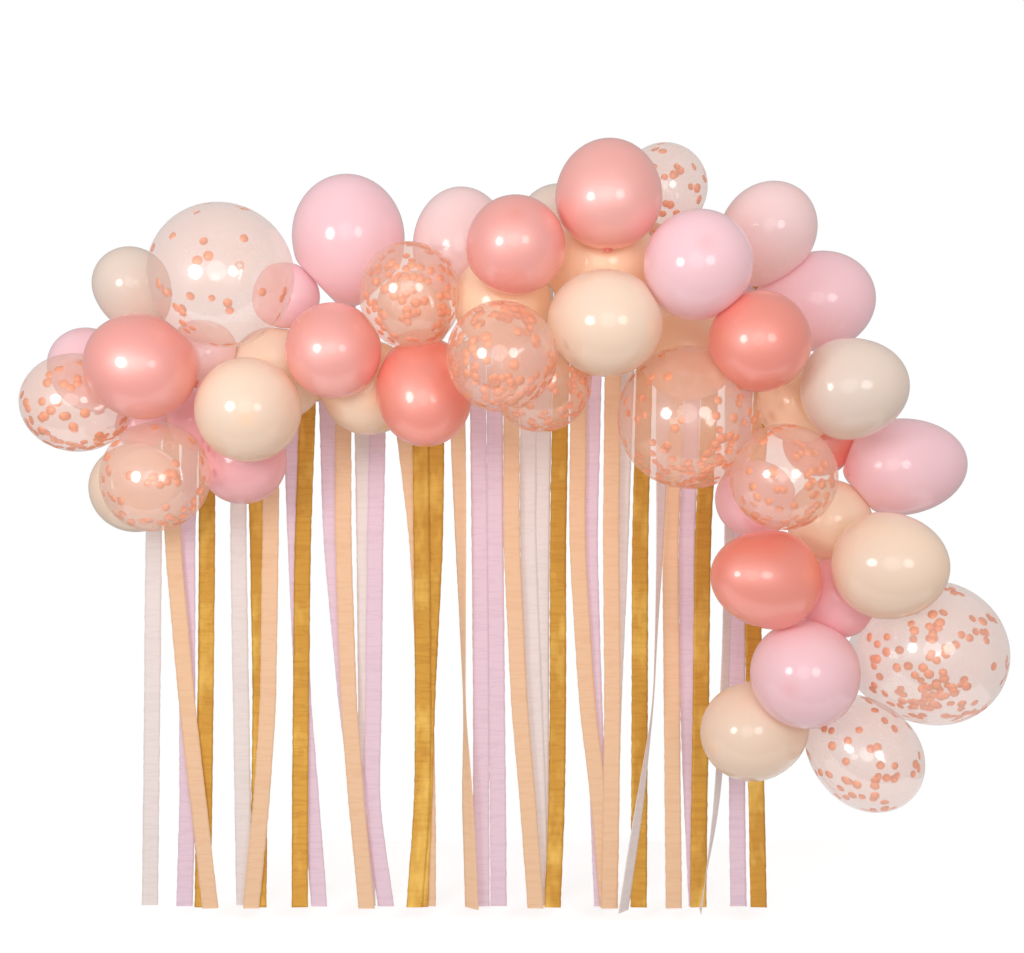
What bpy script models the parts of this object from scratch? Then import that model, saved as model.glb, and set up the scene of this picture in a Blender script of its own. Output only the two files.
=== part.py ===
"""Balloon garland with hanging crepe streamers, built from closed solids in metres, +Z up.

The garland hangs against a wall and is looked at along +Y. Its backbone is a decorating strip, a
clear plastic tape that follows the arch, and the origin lies on the strip's underside at the crown
of the arch, where a wall hook bears. Balloons are pushed back one after another until each rests
on the strip's front edge or on the balloons behind it. Streamers are folded over the strip, hang
down behind it in lanes of their own, and are cut off at one height.
"""

import math

import bmesh
import bpy
import numpy as np
from mathutils import Vector

# Decorating strip
STRIP_WIDTH = 0.038
STRIP_THICKNESS = 0.0015
STRIP_STEPS = 2  # straight lengths between two points of the arch line
CROWN_LEFT, CROWN_RIGHT = -0.035, 0.028  # the level stretch that bears on the hook
LEFT_ARM = [  # underside of the strip, from its left end to the crown, as (x, z)
    (-1.44, -0.55),
    (-1.24, -0.49),
    (-1.04, -0.45),
    (-0.84, -0.42),
    (-0.64, -0.38),
    (-0.46, -0.30),
    (-0.29, -0.16),
    (-0.16, -0.05),
    (CROWN_LEFT, 0.0),
]
RIGHT_ARM = [  # and from the crown to its lower right end
    (CROWN_RIGHT, 0.0),
    (0.17, -0.03),
    (0.32, -0.12),
    (0.43, -0.28),
    (0.49, -0.48),
    (0.52, -0.70),
    (0.52, -0.92),
    (0.51, -1.14),
    (0.48, -1.36),
]

# Balloons
BALLOON_SIDES = 9
BALLOON_BACK = -0.022  # no balloon reaches further back than this
SPREAD = 0.95  # distance of two balloons side by side, as a share of their radii together
NESTING = 0.77  # how much closer one sits in front of another than beside it
CONTACT_GAP = 0.0002  # each balloon's share of the gap at a contact
FACET_SWELL = 1.03  # a ring's corners stand out by this, so that its mean radius is true
TAIL_LENGTH = 1.30  # from the widest ring to the neck, in radii
NECK_RADIUS = 0.009
LIP_RADIUS = 0.014
NECK_LENGTH = 0.030
NECK_LEAST = 0.006  # what is left of a neck that is squeezed
ROUND, OVAL, LONG = 1.00, 1.10, 1.22  # from the widest ring to the crown, in radii

# Each balloon as (finish, x, z, width, crown length, crown direction), from the back layer to the
# front. A crown direction is given where the neck isn't led straight to the strip.
BALLOONS = [
    ("peach", -0.603, -0.238, 0.188, ROUND, None),
    ("pink", -1.320, -0.545, 0.130, ROUND, None),
    ("coral", 0.452, -0.588, 0.182, ROUND, None),
    ("peach", -0.952, -0.415, 0.245, ROUND, None),
    ("peach", -0.715, -0.450, 0.245, ROUND, None),
    ("peach", -1.315, -0.705, 0.235, ROUND, None),
    ("pink", -1.160, -0.530, 0.165, ROUND, None),
    ("pink", -1.035, -0.640, 0.220, ROUND, None),
    ("blush", -1.125, -0.368, 0.172, ROUND, None),
    ("pink", -0.925, -0.220, 0.175, ROUND, None),
    ("ivory", -1.335, -0.180, 0.195, ROUND, None),
    ("pink", -1.450, -0.390, 0.195, ROUND, None),
    ("pink", -0.764, -0.066, 0.286, OVAL, (0.0, -0.3, 1.0)),
    ("blush", -0.474, -0.095, 0.249, LONG, (0.0, -0.15, 1.0)),
    ("peach", -0.370, -0.250, 0.240, ROUND, None),
    ("ivory", -0.225, -0.030, 0.215, ROUND, None),
    ("peach", -0.125, -0.150, 0.275, ROUND, None),
    ("confetti", 0.047, 0.069, 0.225, ROUND, (0.2, -0.7, 0.7)),
    ("peach", 0.110, -0.355, 0.255, ROUND, None),
    ("confetti", -0.275, -0.450, 0.245, ROUND, None),
    ("pink", 0.444, -0.228, 0.256, OVAL, (1.0, -0.3, 0.1)),
    ("blush", 0.300, -0.061, 0.236, OVAL, (0.4, -0.7, 0.6)),
    ("peach", 0.375, -0.492, 0.205, ROUND, None),
    ("pink", 0.284, -0.738, 0.202, ROUND, None),
    ("peach", 0.470, -0.794, 0.215, ROUND, (0.1, -0.3, 1.0)),
    ("pink", 0.480, -0.985, 0.205, ROUND, None),
    ("confetti", 0.703, -1.117, 0.357, ROUND, None),
    ("peach", 0.273, -1.335, 0.250, OVAL, (-0.8, -0.5, -0.2)),
    ("pink", 0.634, -0.655, 0.247, 1.45, (1.0, 0.15, 0.08)),
    ("confetti", -1.049, -0.193, 0.348, ROUND, (0.0, -1.0, -0.3)),
    ("confetti", -1.425, -0.495, 0.245, OVAL, (-1.0, -0.6, 0.0)),
    ("ivory", 0.449, -0.471, 0.243, LONG, (0.9, -0.5, 0.1)),
    ("confetti", 0.566, -1.396, 0.268, OVAL, (0.6, -0.4, -0.6)),
    ("confetti", -1.216, -0.678, 0.262, OVAL, (0.0, -0.8, -0.5)),
    ("rose", -1.233, -0.415, 0.254, OVAL, (-0.9, -0.35, 0.3)),
    ("coral", -0.562, -0.468, 0.239, LONG, (0.1, -0.5, -0.8)),
    ("confetti", 0.085, -0.535, 0.350, ROUND, (0.0, -1.0, -0.2)),
    ("rose", -0.782, -0.372, 0.236, ROUND, (-0.1, -1.0, 0.1)),
    ("confetti", -0.369, -0.405, 0.255, ROUND, (0.0, -1.0, -0.1)),
    ("confetti", -0.592, -0.241, 0.246, OVAL, (0.0, -0.8, 0.6)),
    ("rose", -0.337, -0.145, 0.234, OVAL, (0.0, -0.9, 0.4)),
    ("rose", -0.120, -0.030, 0.250, OVAL, (0.0, -0.15, 1.0)),
    ("coral", 0.230, -0.365, 0.235, ROUND, (0.1, -1.0, 0.0)),
    ("peach", -0.128, -0.320, 0.252, OVAL, (0.9, -0.8, -0.2)),
    ("pink", 0.083, -0.190, 0.250, ROUND, (0.0, -1.0, 0.2)),
    ("confetti", 0.290, -0.680, 0.250, ROUND, (-0.1, -1.0, 0.0)),
    ("coral", 0.301, -0.934, 0.244, 1.43, (-0.9, -0.5, 0.15)),
    ("peach", 0.549, -0.893, 0.258, LONG, (0.7, -0.7, 0.0)),
    ("pink", 0.380, -1.170, 0.265, ROUND, None),
    ("peach", -0.989, -0.516, 0.257, ROUND, None),
]

# Streamers
STREAMER_WIDTH = 0.0445
STREAMER_THICKNESS = 0.0010
RUN_THICKNESS = 0.0006
RUN_DROP = 0.005  # a run's upper edge below the top of the strip
FLAP_LENGTH = 0.024  # what is folded down in front of the strip
FLAP_Y = -0.0203
FOLD_GAP = 0.0010
FRONT_LANE, PEACH_LANE, GOLD_LANE, LILAC_LANE, IVORY_LANE = 0.022, 0.027, 0.035, 0.043, 0.051
KNEE_Z, MIDDLE_Z, SHIN_Z, FOOT_Z = -0.86, -1.30, -1.57, -1.855
LANE_REACHED = 0.09  # below the strip, a tail that changes lane has done so
STRAIGHT = (0, 0, 0, 0)

# Each streamer as (colour, lane of its run, tails). A tail is (x at the strip, at the knee, at the
# middle, at the shin and at the foot, turn about the vertical in degrees at the last four, and y
# at the last four).
STREAMERS = [
    ("gold", GOLD_LANE, [
        (-1.178, -1.178, -1.182, -1.186, -1.190, STRAIGHT, None),
        (-1.047, -1.039, -1.031, -1.035, -1.038, STRAIGHT, None),
        (-0.903, -0.917, -0.922, -0.924, -0.925, STRAIGHT, None),
    ]),
    ("gold", GOLD_LANE, [
        (-0.597, -0.592, -0.588, -0.590, -0.612, STRAIGHT, None),
        (-0.550, -0.556, -0.578, -0.586, -0.597, STRAIGHT, (0.038, 0.038, 0.038, 0.038)),
    ]),
    ("gold", GOLD_LANE, [
        (-0.2075, -0.220, -0.220, -0.223, -0.235, STRAIGHT, None),
        (0.025, 0.004, 0.003, 0.002, 0.000, STRAIGHT, None),
        (0.211, 0.175, 0.170, 0.166, 0.163, STRAIGHT, None),
        (0.3505, 0.311, 0.315, 0.322, 0.328, STRAIGHT, None),
    ]),
    ("peach", PEACH_LANE, [
        (-1.275, -1.270, -1.230, -1.199, -1.167, STRAIGHT, None),
        (-1.000, -1.003, -1.010, -1.028, -1.056, STRAIGHT, None),
        (-0.805, -0.805, -0.790, -0.769, -0.741, STRAIGHT, None),
        (-0.655, -0.603, -0.583, -0.576, -0.576, STRAIGHT, (LILAC_LANE,) * 4),
        (-0.497, -0.485, -0.475, -0.466, -0.455, (-50, -80, -45, -35), None),
        (-0.347, -0.347, -0.326, -0.302, -0.281, STRAIGHT, None),
        (-0.161, -0.168, -0.141, -0.108, -0.083, STRAIGHT, (0.031,) * 4),
        (-0.068, -0.076, -0.072, -0.075, -0.080, STRAIGHT, None),
        (0.118, 0.085, 0.090, 0.092, 0.095, STRAIGHT, None),
    ]),
    ("lilac", LILAC_LANE, [
        (-1.225, -1.235, -1.234, -1.233, -1.242, STRAIGHT, None),
        (-0.950, -0.938, -0.917, -0.895, -0.873, STRAIGHT, None),
        (-0.852, -0.840, -0.799, -0.764, -0.742, STRAIGHT, (0.045,) * 4),
        (-0.711, -0.720, -0.724, -0.731, -0.690, STRAIGHT, None),
    ]),
    ("lilac", LILAC_LANE, [
        (-0.440, -0.434, -0.430, -0.430, -0.429, STRAIGHT, None),
        (-0.3935, -0.391, -0.387, -0.384, -0.382, STRAIGHT, None),
        (-0.1145, -0.134, -0.121, -0.110, -0.099, STRAIGHT, None),
        (0.1645, 0.132, 0.136, 0.147, 0.160, STRAIGHT, None),
        (0.304, 0.272, 0.270, 0.270, 0.274, STRAIGHT, None),
    ]),
    ("ivory", IVORY_LANE, [
        (-1.330, -1.328, -1.333, -1.335, -1.339, STRAIGHT, None),
        (-1.096, -1.096, -1.089, -1.084, -1.080, STRAIGHT, None),
        (-0.757, -0.750, -0.745, -0.747, -0.742, STRAIGHT, None),
    ]),
    ("ivory", IVORY_LANE, [
        (-0.3005, -0.302, -0.285, -0.274, -0.266, STRAIGHT, (0.048,) * 4),
        (-0.254, -0.265, -0.266, -0.266, -0.266, STRAIGHT, None),
        (-0.0215, -0.048, -0.067, -0.075, -0.078, STRAIGHT, None),
    ]),
    ("ivory", FRONT_LANE, [
        (0.0715, 0.054, 0.036, -0.002, -0.045, (60, 80, 55, 45), (0.000, 0.000, 0.000, 0.000)),
        (0.2575, 0.242, 0.227, 0.207, 0.163, (45, 50, 60, 85), (0.005, 0.000, 0.000, 0.000)),
    ]),
]

COLOURS = {  # base colour and roughness
    "rose": ((0.86, 0.38, 0.35), 0.25),
    "coral": ((0.87, 0.25, 0.19), 0.25),
    "pink": ((0.91, 0.56, 0.66), 0.30),
    "blush": ((0.87, 0.60, 0.60), 0.30),
    "peach": ((0.89, 0.68, 0.48), 0.30),
    "ivory": ((0.85, 0.70, 0.58), 0.30),
    "confetti": ((0.92, 0.78, 0.75), 0.15),
    "gold_crepe": ((0.60, 0.33, 0.08), 0.40),
    "peach_crepe": ((0.86, 0.56, 0.35), 0.85),
    "lilac_crepe": ((0.80, 0.62, 0.68), 0.85),
    "ivory_crepe": ((0.80, 0.72, 0.69), 0.85),
    "strip": ((0.90, 0.90, 0.90), 0.20),
}
METALLIC = {"gold_crepe": 0.8}


def clear_scene():
    """Remove every object, so that the file holds this part alone."""
    for thing in list(bpy.data.objects):
        bpy.data.objects.remove(thing, do_unlink=True)


def material(name):
    """The material of one finish, made once."""
    if name in bpy.data.materials:
        return bpy.data.materials[name]
    made = bpy.data.materials.new(name)
    made.use_nodes = True
    shader = made.node_tree.nodes["Principled BSDF"]
    colour, roughness = COLOURS[name]
    shader.inputs["Base Color"].default_value = (*colour, 1.0)
    shader.inputs["Roughness"].default_value = roughness
    shader.inputs["Metallic"].default_value = METALLIC.get(name, 0.0)
    return made


def add_object(name, points, faces, finish, smooth=False):
    """Link a mesh as a named object with its finish, its faces turned outwards."""
    mesh = bpy.data.meshes.new(name)
    mesh.from_pydata([tuple(p) for p in points], [], faces)
    shell = bmesh.new()
    shell.from_mesh(mesh)
    bmesh.ops.recalc_face_normals(shell, faces=shell.faces)
    shell.to_mesh(mesh)
    shell.free()
    if smooth:
        mesh.shade_smooth()
        mesh.set_sharp_from_angle(angle=math.radians(50))
    mesh.materials.append(material(finish))
    made = bpy.data.objects.new(name, mesh)
    bpy.context.scene.collection.objects.link(made)
    return made


def triangulate(made):
    """Split an object's faces into triangles, so that one which isn't flat has only one shape."""
    shell = bmesh.new()
    shell.from_mesh(made.data)
    bmesh.ops.triangulate(shell, faces=shell.faces)
    shell.to_mesh(made.data)
    shell.free()
    return made


def rings_to_faces(rings, sides):
    """Quads between rings of corners that follow one another, with both ends closed flat."""
    faces = [tuple(range(sides)), tuple((rings - 1) * sides + k for k in range(sides))]
    for ring in range(rings - 1):
        for k in range(sides):
            here, after = ring * sides + k, ring * sides + (k + 1) % sides
            faces.append((here, after, after + sides, here + sides))
    return faces


# The arch line and the strip along it

def smooth_through(points, steps):
    """A Catmull-Rom curve through points, with its own end points doubled."""
    padded = [points[0], *points, points[-1]]
    curve = []
    for before, start, end, after in zip(padded, padded[1:], padded[2:], padded[3:]):
        for step in range(steps):
            t = step / steps
            curve.append(tuple(
                0.5 * (2 * s + (e - b) * t + (2 * b - 5 * s + 4 * e - a) * t**2
                       + (3 * s - 3 * e + a - b) * t**3)
                for b, s, e, a in zip(before, start, end, after)
            ))
    curve.append(points[-1])
    return curve


ARCH = smooth_through(LEFT_ARM, STRIP_STEPS) + smooth_through(RIGHT_ARM, STRIP_STEPS)


def strip_top(x):
    """Height of the strip's upper face over x, on the stretch that streamers hang from."""
    for (x0, z0), (x1, z1) in zip(ARCH, ARCH[1:]):
        if x0 <= x <= x1:
            return z0 + (z1 - z0) * (x - x0) / (x1 - x0) + STRIP_THICKNESS * math.hypot(
                1, (z1 - z0) / (x1 - x0)
            )
    raise ValueError(f"the strip has no point over x = {x}")


def make_strip():
    """The strip: the arch line is its underside, and its width lies along Y."""
    half = STRIP_WIDTH / 2
    points = []
    for i, (x, z) in enumerate(ARCH):
        before, after = ARCH[max(i - 1, 0)], ARCH[min(i + 1, len(ARCH) - 1)]
        along = Vector((after[0] - before[0], after[1] - before[1])).normalized()
        up = Vector((-along.y, along.x))
        if z == 0.0:
            up = Vector((0.0, 1.0))
        top = Vector((x, z)) + up * STRIP_THICKNESS
        points += [(x, -half, z), (x, half, z), (top.x, half, top.y), (top.x, -half, top.y)]
    add_object("decorating_strip", points, rings_to_faces(len(ARCH), 4), "strip")


# Balloons

def settle(rows):
    """Centres of the balloons: each is pushed back till it rests on the strip or on another."""
    centres = []
    radii = [width / 2 for _, _, _, width, _, _ in rows]
    for (_, x, z, _, _, _), radius in zip(rows, radii):
        y = BALLOON_BACK - radius
        for other, other_radius in zip(centres, radii):
            beside = math.hypot(x - other.x, z - other.z)
            apart = SPREAD * (radius + other_radius)
            if beside < apart:
                y = min(y, other.y - NESTING * math.sqrt(apart**2 - beside**2))
        centres.append(Vector((x, y, z)))
    return centres, radii


def crown_direction(centre, given):
    """Where a balloon's crown points: as given, or away from the nearest point of the strip."""
    if given:
        return Vector(given).normalized()
    front = -STRIP_WIDTH / 2
    nearest = min((Vector((x, front, z)) for x, z in ARCH), key=lambda p: (p - centre).length)
    return (centre - nearest).normalized()


def contact_planes(index, centres, radii):
    """Planes that a balloon stays behind, as (normal, distance from its centre).

    Between two balloons that is the plane through the circle where their spheres would cross.
    """
    centre, radius = centres[index], radii[index]
    planes = [(Vector((0.0, 1.0, 0.0)), BALLOON_BACK - centre.y)]
    for other, other_radius in zip(centres, radii):
        between = other - centre
        apart = between.length
        if 0 < apart < 1.6 * (radius + other_radius):
            reach = (apart**2 + radius**2 - other_radius**2) / (2 * apart)
            planes.append((between / apart, reach - CONTACT_GAP))
    return planes


def balloon_profile(radius, crown, planes, neck_way):
    """Rings of a balloon as (distance from the centre towards the crown, ring radius).

    The crown half is half an ellipse. The tail half narrows to the neck, which ends in a lip.
    Where the neighbours leave little room, the neck is squeezed first and then the tail.
    """
    end = TAIL_LENGTH * radius + NECK_LENGTH
    for normal, distance in planes:
        towards = normal.dot(neck_way)
        if towards > 0:
            across = math.sqrt(max(0.0, 1 - towards**2))
            end = min(end, (distance - LIP_RADIUS * across) / towards)
    tail = min(TAIL_LENGTH * radius, end - NECK_LEAST)
    rings = [
        (crown * radius * math.cos(math.radians(a)), radius * math.sin(math.radians(a)))
        for a in (25, 57, 90)
    ]
    for a in (32, 62):
        angle = math.radians(a)
        rings.append((-tail * math.sin(angle), radius * math.cos(angle) + NECK_RADIUS / 3))
    return rings + [(-tail, NECK_RADIUS), (-end, LIP_RADIUS)]


def make_balloon(name, finish, centre, radius, crown, way, planes):
    """One balloon, flattened where it presses on its neighbours."""
    side = way.orthogonal().normalized()
    up = way.cross(side)
    profile = balloon_profile(radius, crown, planes, -way)
    offsets = []
    for along, ring in profile:
        for k in range(BALLOON_SIDES):
            angle = math.tau * k / BALLOON_SIDES
            out = side * math.cos(angle) + up * math.sin(angle)
            offsets.append(way * along + out * ring * FACET_SWELL)
    offsets += [way * crown * radius, way * profile[-1][0]]

    points = []
    for offset in offsets:
        share = 1.0
        for normal, distance in planes:
            towards = offset.dot(normal)
            if towards > distance:
                share = min(share, distance / towards)
        points.append(centre + offset * share)

    rings = len(profile)
    faces = rings_to_faces(rings, BALLOON_SIDES)[2:]
    crown_point, lip_point = rings * BALLOON_SIDES, rings * BALLOON_SIDES + 1
    for k in range(BALLOON_SIDES):
        after = (k + 1) % BALLOON_SIDES
        faces.append((crown_point, k, after))
        last = (rings - 1) * BALLOON_SIDES
        faces.append((lip_point, last + after, last + k))
    triangulate(add_object(name, points, faces, finish, smooth=True))


def make_balloons():
    """All balloons, numbered within their finish from the back layer to the front."""
    centres, radii = settle(BALLOONS)
    counts = {}
    for index, (finish, _, _, _, crown, given) in enumerate(BALLOONS):
        counts[finish] = counts.get(finish, 0) + 1
        planes = contact_planes(index, centres, radii)
        way = crown_direction(centres[index], given)
        name = f"{finish}_balloon_{counts[finish]}"
        make_balloon(name, finish, centres[index], radii[index], crown, way, planes)


# Streamers

def fold_heights(x):
    """Heights of a fold over the strip at a tail's two edges, just clear of the strip."""
    left, right = x - STREAMER_WIDTH / 2, x + STREAMER_WIDTH / 2
    low, high = strip_top(left), strip_top(right)
    lift = max(
        strip_top(at) - (low + (high - low) * (at - left) / STREAMER_WIDTH)
        for at in [left] + [p for p, _ in ARCH if left < p < right]
    )
    lift += FOLD_GAP + STREAMER_THICKNESS / 2
    return low + lift, high + lift


def tail_stations(tail, lane):
    """Edges of a tail from its flap in front of the strip to its foot, as (left, right) points."""
    x, *xs, turns, depths = tail
    left, right = x - STREAMER_WIDTH / 2, x + STREAMER_WIDTH / 2
    low, high = fold_heights(x)
    stations = [
        (Vector((left, FLAP_Y, low - FLAP_LENGTH)), Vector((right, FLAP_Y, high - FLAP_LENGTH))),
        (Vector((left, FLAP_Y, low)), Vector((right, FLAP_Y, high))),
        (Vector((left, lane, low)), Vector((right, lane, high))),
    ]
    depths = depths or (lane,) * 4
    start = min(low, high) - STREAMER_WIDTH - RUN_DROP
    stations.append(straight_across(x, lane, start, 0))
    if depths[0] != lane:
        share = LANE_REACHED / (start - KNEE_Z)
        stations.append(
            straight_across(x + (xs[0] - x) * share, depths[0], start - LANE_REACHED, 0)
        )
    for at, depth, height, turn in zip(xs, depths, (KNEE_Z, MIDDLE_Z, SHIN_Z, FOOT_Z), turns):
        stations.append(straight_across(at, depth, height, turn))
    return stations


def straight_across(x, y, z, turn):
    """Left and right edge of a level section of streamer, turned about the vertical."""
    half = STREAMER_WIDTH / 2
    out = Vector((math.cos(math.radians(turn)), math.sin(math.radians(turn)), 0.0)) * half
    return Vector((x, y, z)) - out, Vector((x, y, z)) + out


def ribbon(name, stations, thickness, finish):
    """A closed ribbon through stations of (left, right) edge points."""
    points = []
    for i, (left, right) in enumerate(stations):
        normals = []
        for a, b in ((i - 1, i), (i, i + 1)):
            if a < 0 or b >= len(stations):
                continue
            along = (stations[b][0] + stations[b][1] - stations[a][0] - stations[a][1]) / 2
            normals.append(along.cross(right - left).normalized())
        normal = sum(normals, Vector()).normalized()
        normal *= thickness / 2 / normal.dot(normals[0])
        points += [left - normal, right - normal, right + normal, left + normal]
    return triangulate(add_object(name, points, rings_to_faces(len(stations), 4), finish))


def run_stations(start, end, lane):
    """Edges of a run of streamer behind the strip, as (lower, upper) points."""
    places = [start] + [x for x, _ in ARCH if start < x < end] + [end]
    stations = []
    for x in places:
        upper = strip_top(x) - RUN_DROP
        stations.append((Vector((x, lane, upper - STREAMER_WIDTH)), Vector((x, lane, upper))))
    return stations


def join(whole, part):
    """Unite part with whole and delete part."""
    union = whole.modifiers.new("join", "BOOLEAN")
    union.operation = "UNION"
    union.object = part
    bpy.context.view_layer.update()
    shape = bpy.data.meshes.new_from_object(
        whole.evaluated_get(bpy.context.evaluated_depsgraph_get())
    )
    whole.modifiers.clear()
    whole.data = shape
    bpy.data.objects.remove(part, do_unlink=True)


def make_streamers():
    """Each streamer: its tails, and the run behind the strip that joins them."""
    counts = {}
    for colour, lane, tails in STREAMERS:
        counts[colour] = counts.get(colour, 0) + 1
        name = f"{colour}_streamer_{counts[colour]}"
        finish = f"{colour}_crepe"
        stretches = [
            ribbon(f"{name}_tail", tail_stations(tail, lane), STREAMER_THICKNESS, finish)
            for tail in tails
        ]
        if len(tails) > 1:
            inner = STREAMER_WIDTH / 4
            stations = run_stations(tails[0][0] - inner, tails[-1][0] + inner, lane)
            run = ribbon(f"{name}_run", stations, RUN_THICKNESS, finish)
            stretches.insert(0, run)
        whole = stretches[0]
        for part in stretches[1:]:
            join(whole, part)
        triangulate(whole).name = name


clear_scene()
make_strip()
make_balloons()
make_streamers()
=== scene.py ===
"""Looks of a balloon garland with hanging crepe streamers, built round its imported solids."""

from __future__ import annotations

import logging
import math
from dataclasses import dataclass, field
from enum import Enum
from typing import Sequence

import bpy
import numpy as np
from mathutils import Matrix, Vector


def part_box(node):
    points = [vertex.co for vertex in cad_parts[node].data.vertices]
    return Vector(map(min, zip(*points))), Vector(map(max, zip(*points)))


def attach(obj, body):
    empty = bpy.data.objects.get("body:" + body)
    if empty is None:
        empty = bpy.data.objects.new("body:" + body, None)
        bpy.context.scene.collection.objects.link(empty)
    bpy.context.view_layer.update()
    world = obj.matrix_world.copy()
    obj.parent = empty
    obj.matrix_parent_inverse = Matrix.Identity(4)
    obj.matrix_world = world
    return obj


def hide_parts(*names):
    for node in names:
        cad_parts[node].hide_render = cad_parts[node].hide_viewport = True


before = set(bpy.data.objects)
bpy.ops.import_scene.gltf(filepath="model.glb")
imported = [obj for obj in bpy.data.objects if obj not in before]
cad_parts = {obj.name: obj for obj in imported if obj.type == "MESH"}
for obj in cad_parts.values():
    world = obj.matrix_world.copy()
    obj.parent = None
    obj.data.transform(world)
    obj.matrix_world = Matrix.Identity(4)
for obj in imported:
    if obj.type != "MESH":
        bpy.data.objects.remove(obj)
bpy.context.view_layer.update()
LOG = logging.getLogger("garland")

Colour = tuple[float, float, float]
Point = tuple[float, float, float]

BODY = "root"
SKIN_FIELD = "stretch"  # 1 where the latex is blown up thin, 0 where it is thick; lowered over some whole balloons as a deeper tone and as painted shade
PAPER_MAP = "paper"  # across and along the paper, in metres
WAVE_LENGTH = 0.314  # of the wave texture at a scale of 1, in metres
WHITE: Colour = (1.0, 1.0, 1.0)
SAME_PLACE = 7  # decimals of a metre from which two places are one


# Shader building


@dataclass(frozen=True)
class Value:
    """What a node gives. A number that a node gives takes part in arithmetic.

    Attributes:
        nodes: The tree that the node belongs to.
        socket: The node's output, or None on a node without one.
    """

    nodes: Nodes
    socket: bpy.types.NodeSocket | None

    def _math(self, operation: str, first: object, second: object) -> Value:
        """Add one Math node.

        Args:
            operation: Blender's name of the operation.
            first: The first operand, a number or a Value.
            second: The second operand, a number or a Value.

        Returns:
            The node's result.
        """
        return self.nodes.add("ShaderNodeMath", {"operation": operation}, {0: first, 1: second})

    def __add__(self, other: object) -> Value:
        """Sum."""
        return self._math("ADD", self, other)

    __radd__ = __add__

    def __sub__(self, other: object) -> Value:
        """Difference."""
        return self._math("SUBTRACT", self, other)

    def __rsub__(self, other: object) -> Value:
        """Difference, taken from a number."""
        return self._math("SUBTRACT", other, self)

    def __mul__(self, other: object) -> Value:
        """Product."""
        return self._math("MULTIPLY", self, other)

    __rmul__ = __mul__

    def spread(self, low: float, high: float) -> Value:
        """Map 0..1 to low..high.

        Args:
            low: The value at 0.
            high: The value at 1.

        Returns:
            The mapped value, kept inside the range.
        """
        return self.nodes.add(
            "ShaderNodeMapRange", {"clamp": True},
            {"Value": self, "To Min": low, "To Max": high},
        )

    def around(self, middle: float, swing: float) -> Value:
        """Map 0..1 to a swing below and above a middle."""
        return self.spread(middle - swing, middle + swing)

    def contrast(self, gain: float, level: float) -> Value:
        """Raise the contrast: the value times a gain, less a level."""
        return self * gain - level


class Nodes:
    """The node tree of a material or of the surroundings."""

    def __init__(self, owner: bpy.types.Material | bpy.types.World) -> None:
        """Start an empty tree.

        Args:
            owner: What the tree belongs to.
        """
        owner.use_nodes = True
        self.owner = owner
        self.tree = owner.node_tree
        self.tree.nodes.clear()

    @classmethod
    def of_material(cls, name: str) -> Nodes:
        """The empty tree of a new material."""
        return cls(bpy.data.materials.new(name))

    def add(
        self,
        kind: str,
        settings: dict[str, object] | None = None,
        values: dict[object, object] | None = None,
        output: object = 0,
    ) -> Value:
        """Add a node of any kind.

        Args:
            kind: Blender's type name.
            settings: Properties of the node, set first.
            values: What its sockets hold, by name or number: a link or a plain value.
            output: Name or number of the output that is wanted.

        Returns:
            The wanted output.
        """
        node = self.tree.nodes.new(kind)
        for key, setting in (settings or {}).items():
            setattr(node, key, setting)
        for key, value in (values or {}).items():
            if isinstance(value, Value):
                self.tree.links.new(value.socket, node.inputs[key])
            else:
                node.inputs[key].default_value = value
        return Value(self, node.outputs[output] if node.outputs else None)

    def mix(self, factor: object, first: object, second: object) -> Value:
        """Mix two colours.

        Args:
            factor: Share of the second colour.
            first: The colour at 0.
            second: The colour at 1.

        Returns:
            The mixed colour.
        """
        return self.add(
            "ShaderNodeMix", {"data_type": "RGBA"},
            {0: factor, 6: self.opaque(first), 7: self.opaque(second)}, 2,
        )

    @staticmethod
    def opaque(colour: object) -> object:
        """Give a plain colour its fourth number.

        Args:
            colour: A link, or three numbers.

        Returns:
            The link, or four numbers.
        """
        return colour if isinstance(colour, Value) else (*colour, 1.0)

    def place(self) -> Value:
        """Position on the object, in metres."""
        return self.add("ShaderNodeTexCoord", output="Object")

    def scaled(self, where: Value, scale: Point) -> Value:
        """A position with each of its coordinates scaled."""
        return self.add("ShaderNodeMapping", values={"Vector": where, "Scale": scale})

    def noise(self, where: Value, scale: float, detail: float = 2.0, rough: float = 0.5) -> Value:
        """Smooth noise from 0 to 1.

        Args:
            where: The position it is read at.
            scale: Lumps per metre.
            detail: Octaves of finer noise.
            rough: Strength of each finer octave.

        Returns:
            The noise.
        """
        return self.add(
            "ShaderNodeTexNoise", {"noise_dimensions": "3D"},
            {"Vector": where, "Scale": scale, "Detail": detail, "Roughness": rough},
        )

    def bump(self, height: Value, distance: float, strength: float) -> Value:
        """Turn a height into a normal.

        Args:
            height: The height, 0 to 1.
            distance: What a height of 1 stands for, in metres.
            strength: Share of the effect.

        Returns:
            The normal.
        """
        return self.add(
            "ShaderNodeBump", values={"Height": height, "Distance": distance, "Strength": strength}
        )

    def finish(self, values: dict[object, object]) -> bpy.types.Material:
        """Close the tree with a Principled shader.

        Args:
            values: What the shader's sockets hold.

        Returns:
            The material.
        """
        shader = self.add("ShaderNodeBsdfPrincipled", values=values)
        self.add("ShaderNodeOutputMaterial", values={"Surface": shader})
        return self.owner


# Finishes


@dataclass(frozen=True)
class Finish:
    """What a surface is made of.

    Attributes:
        slot: Name of its material slot, or a name where it belongs to the stage.
    """

    slot: str


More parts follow.
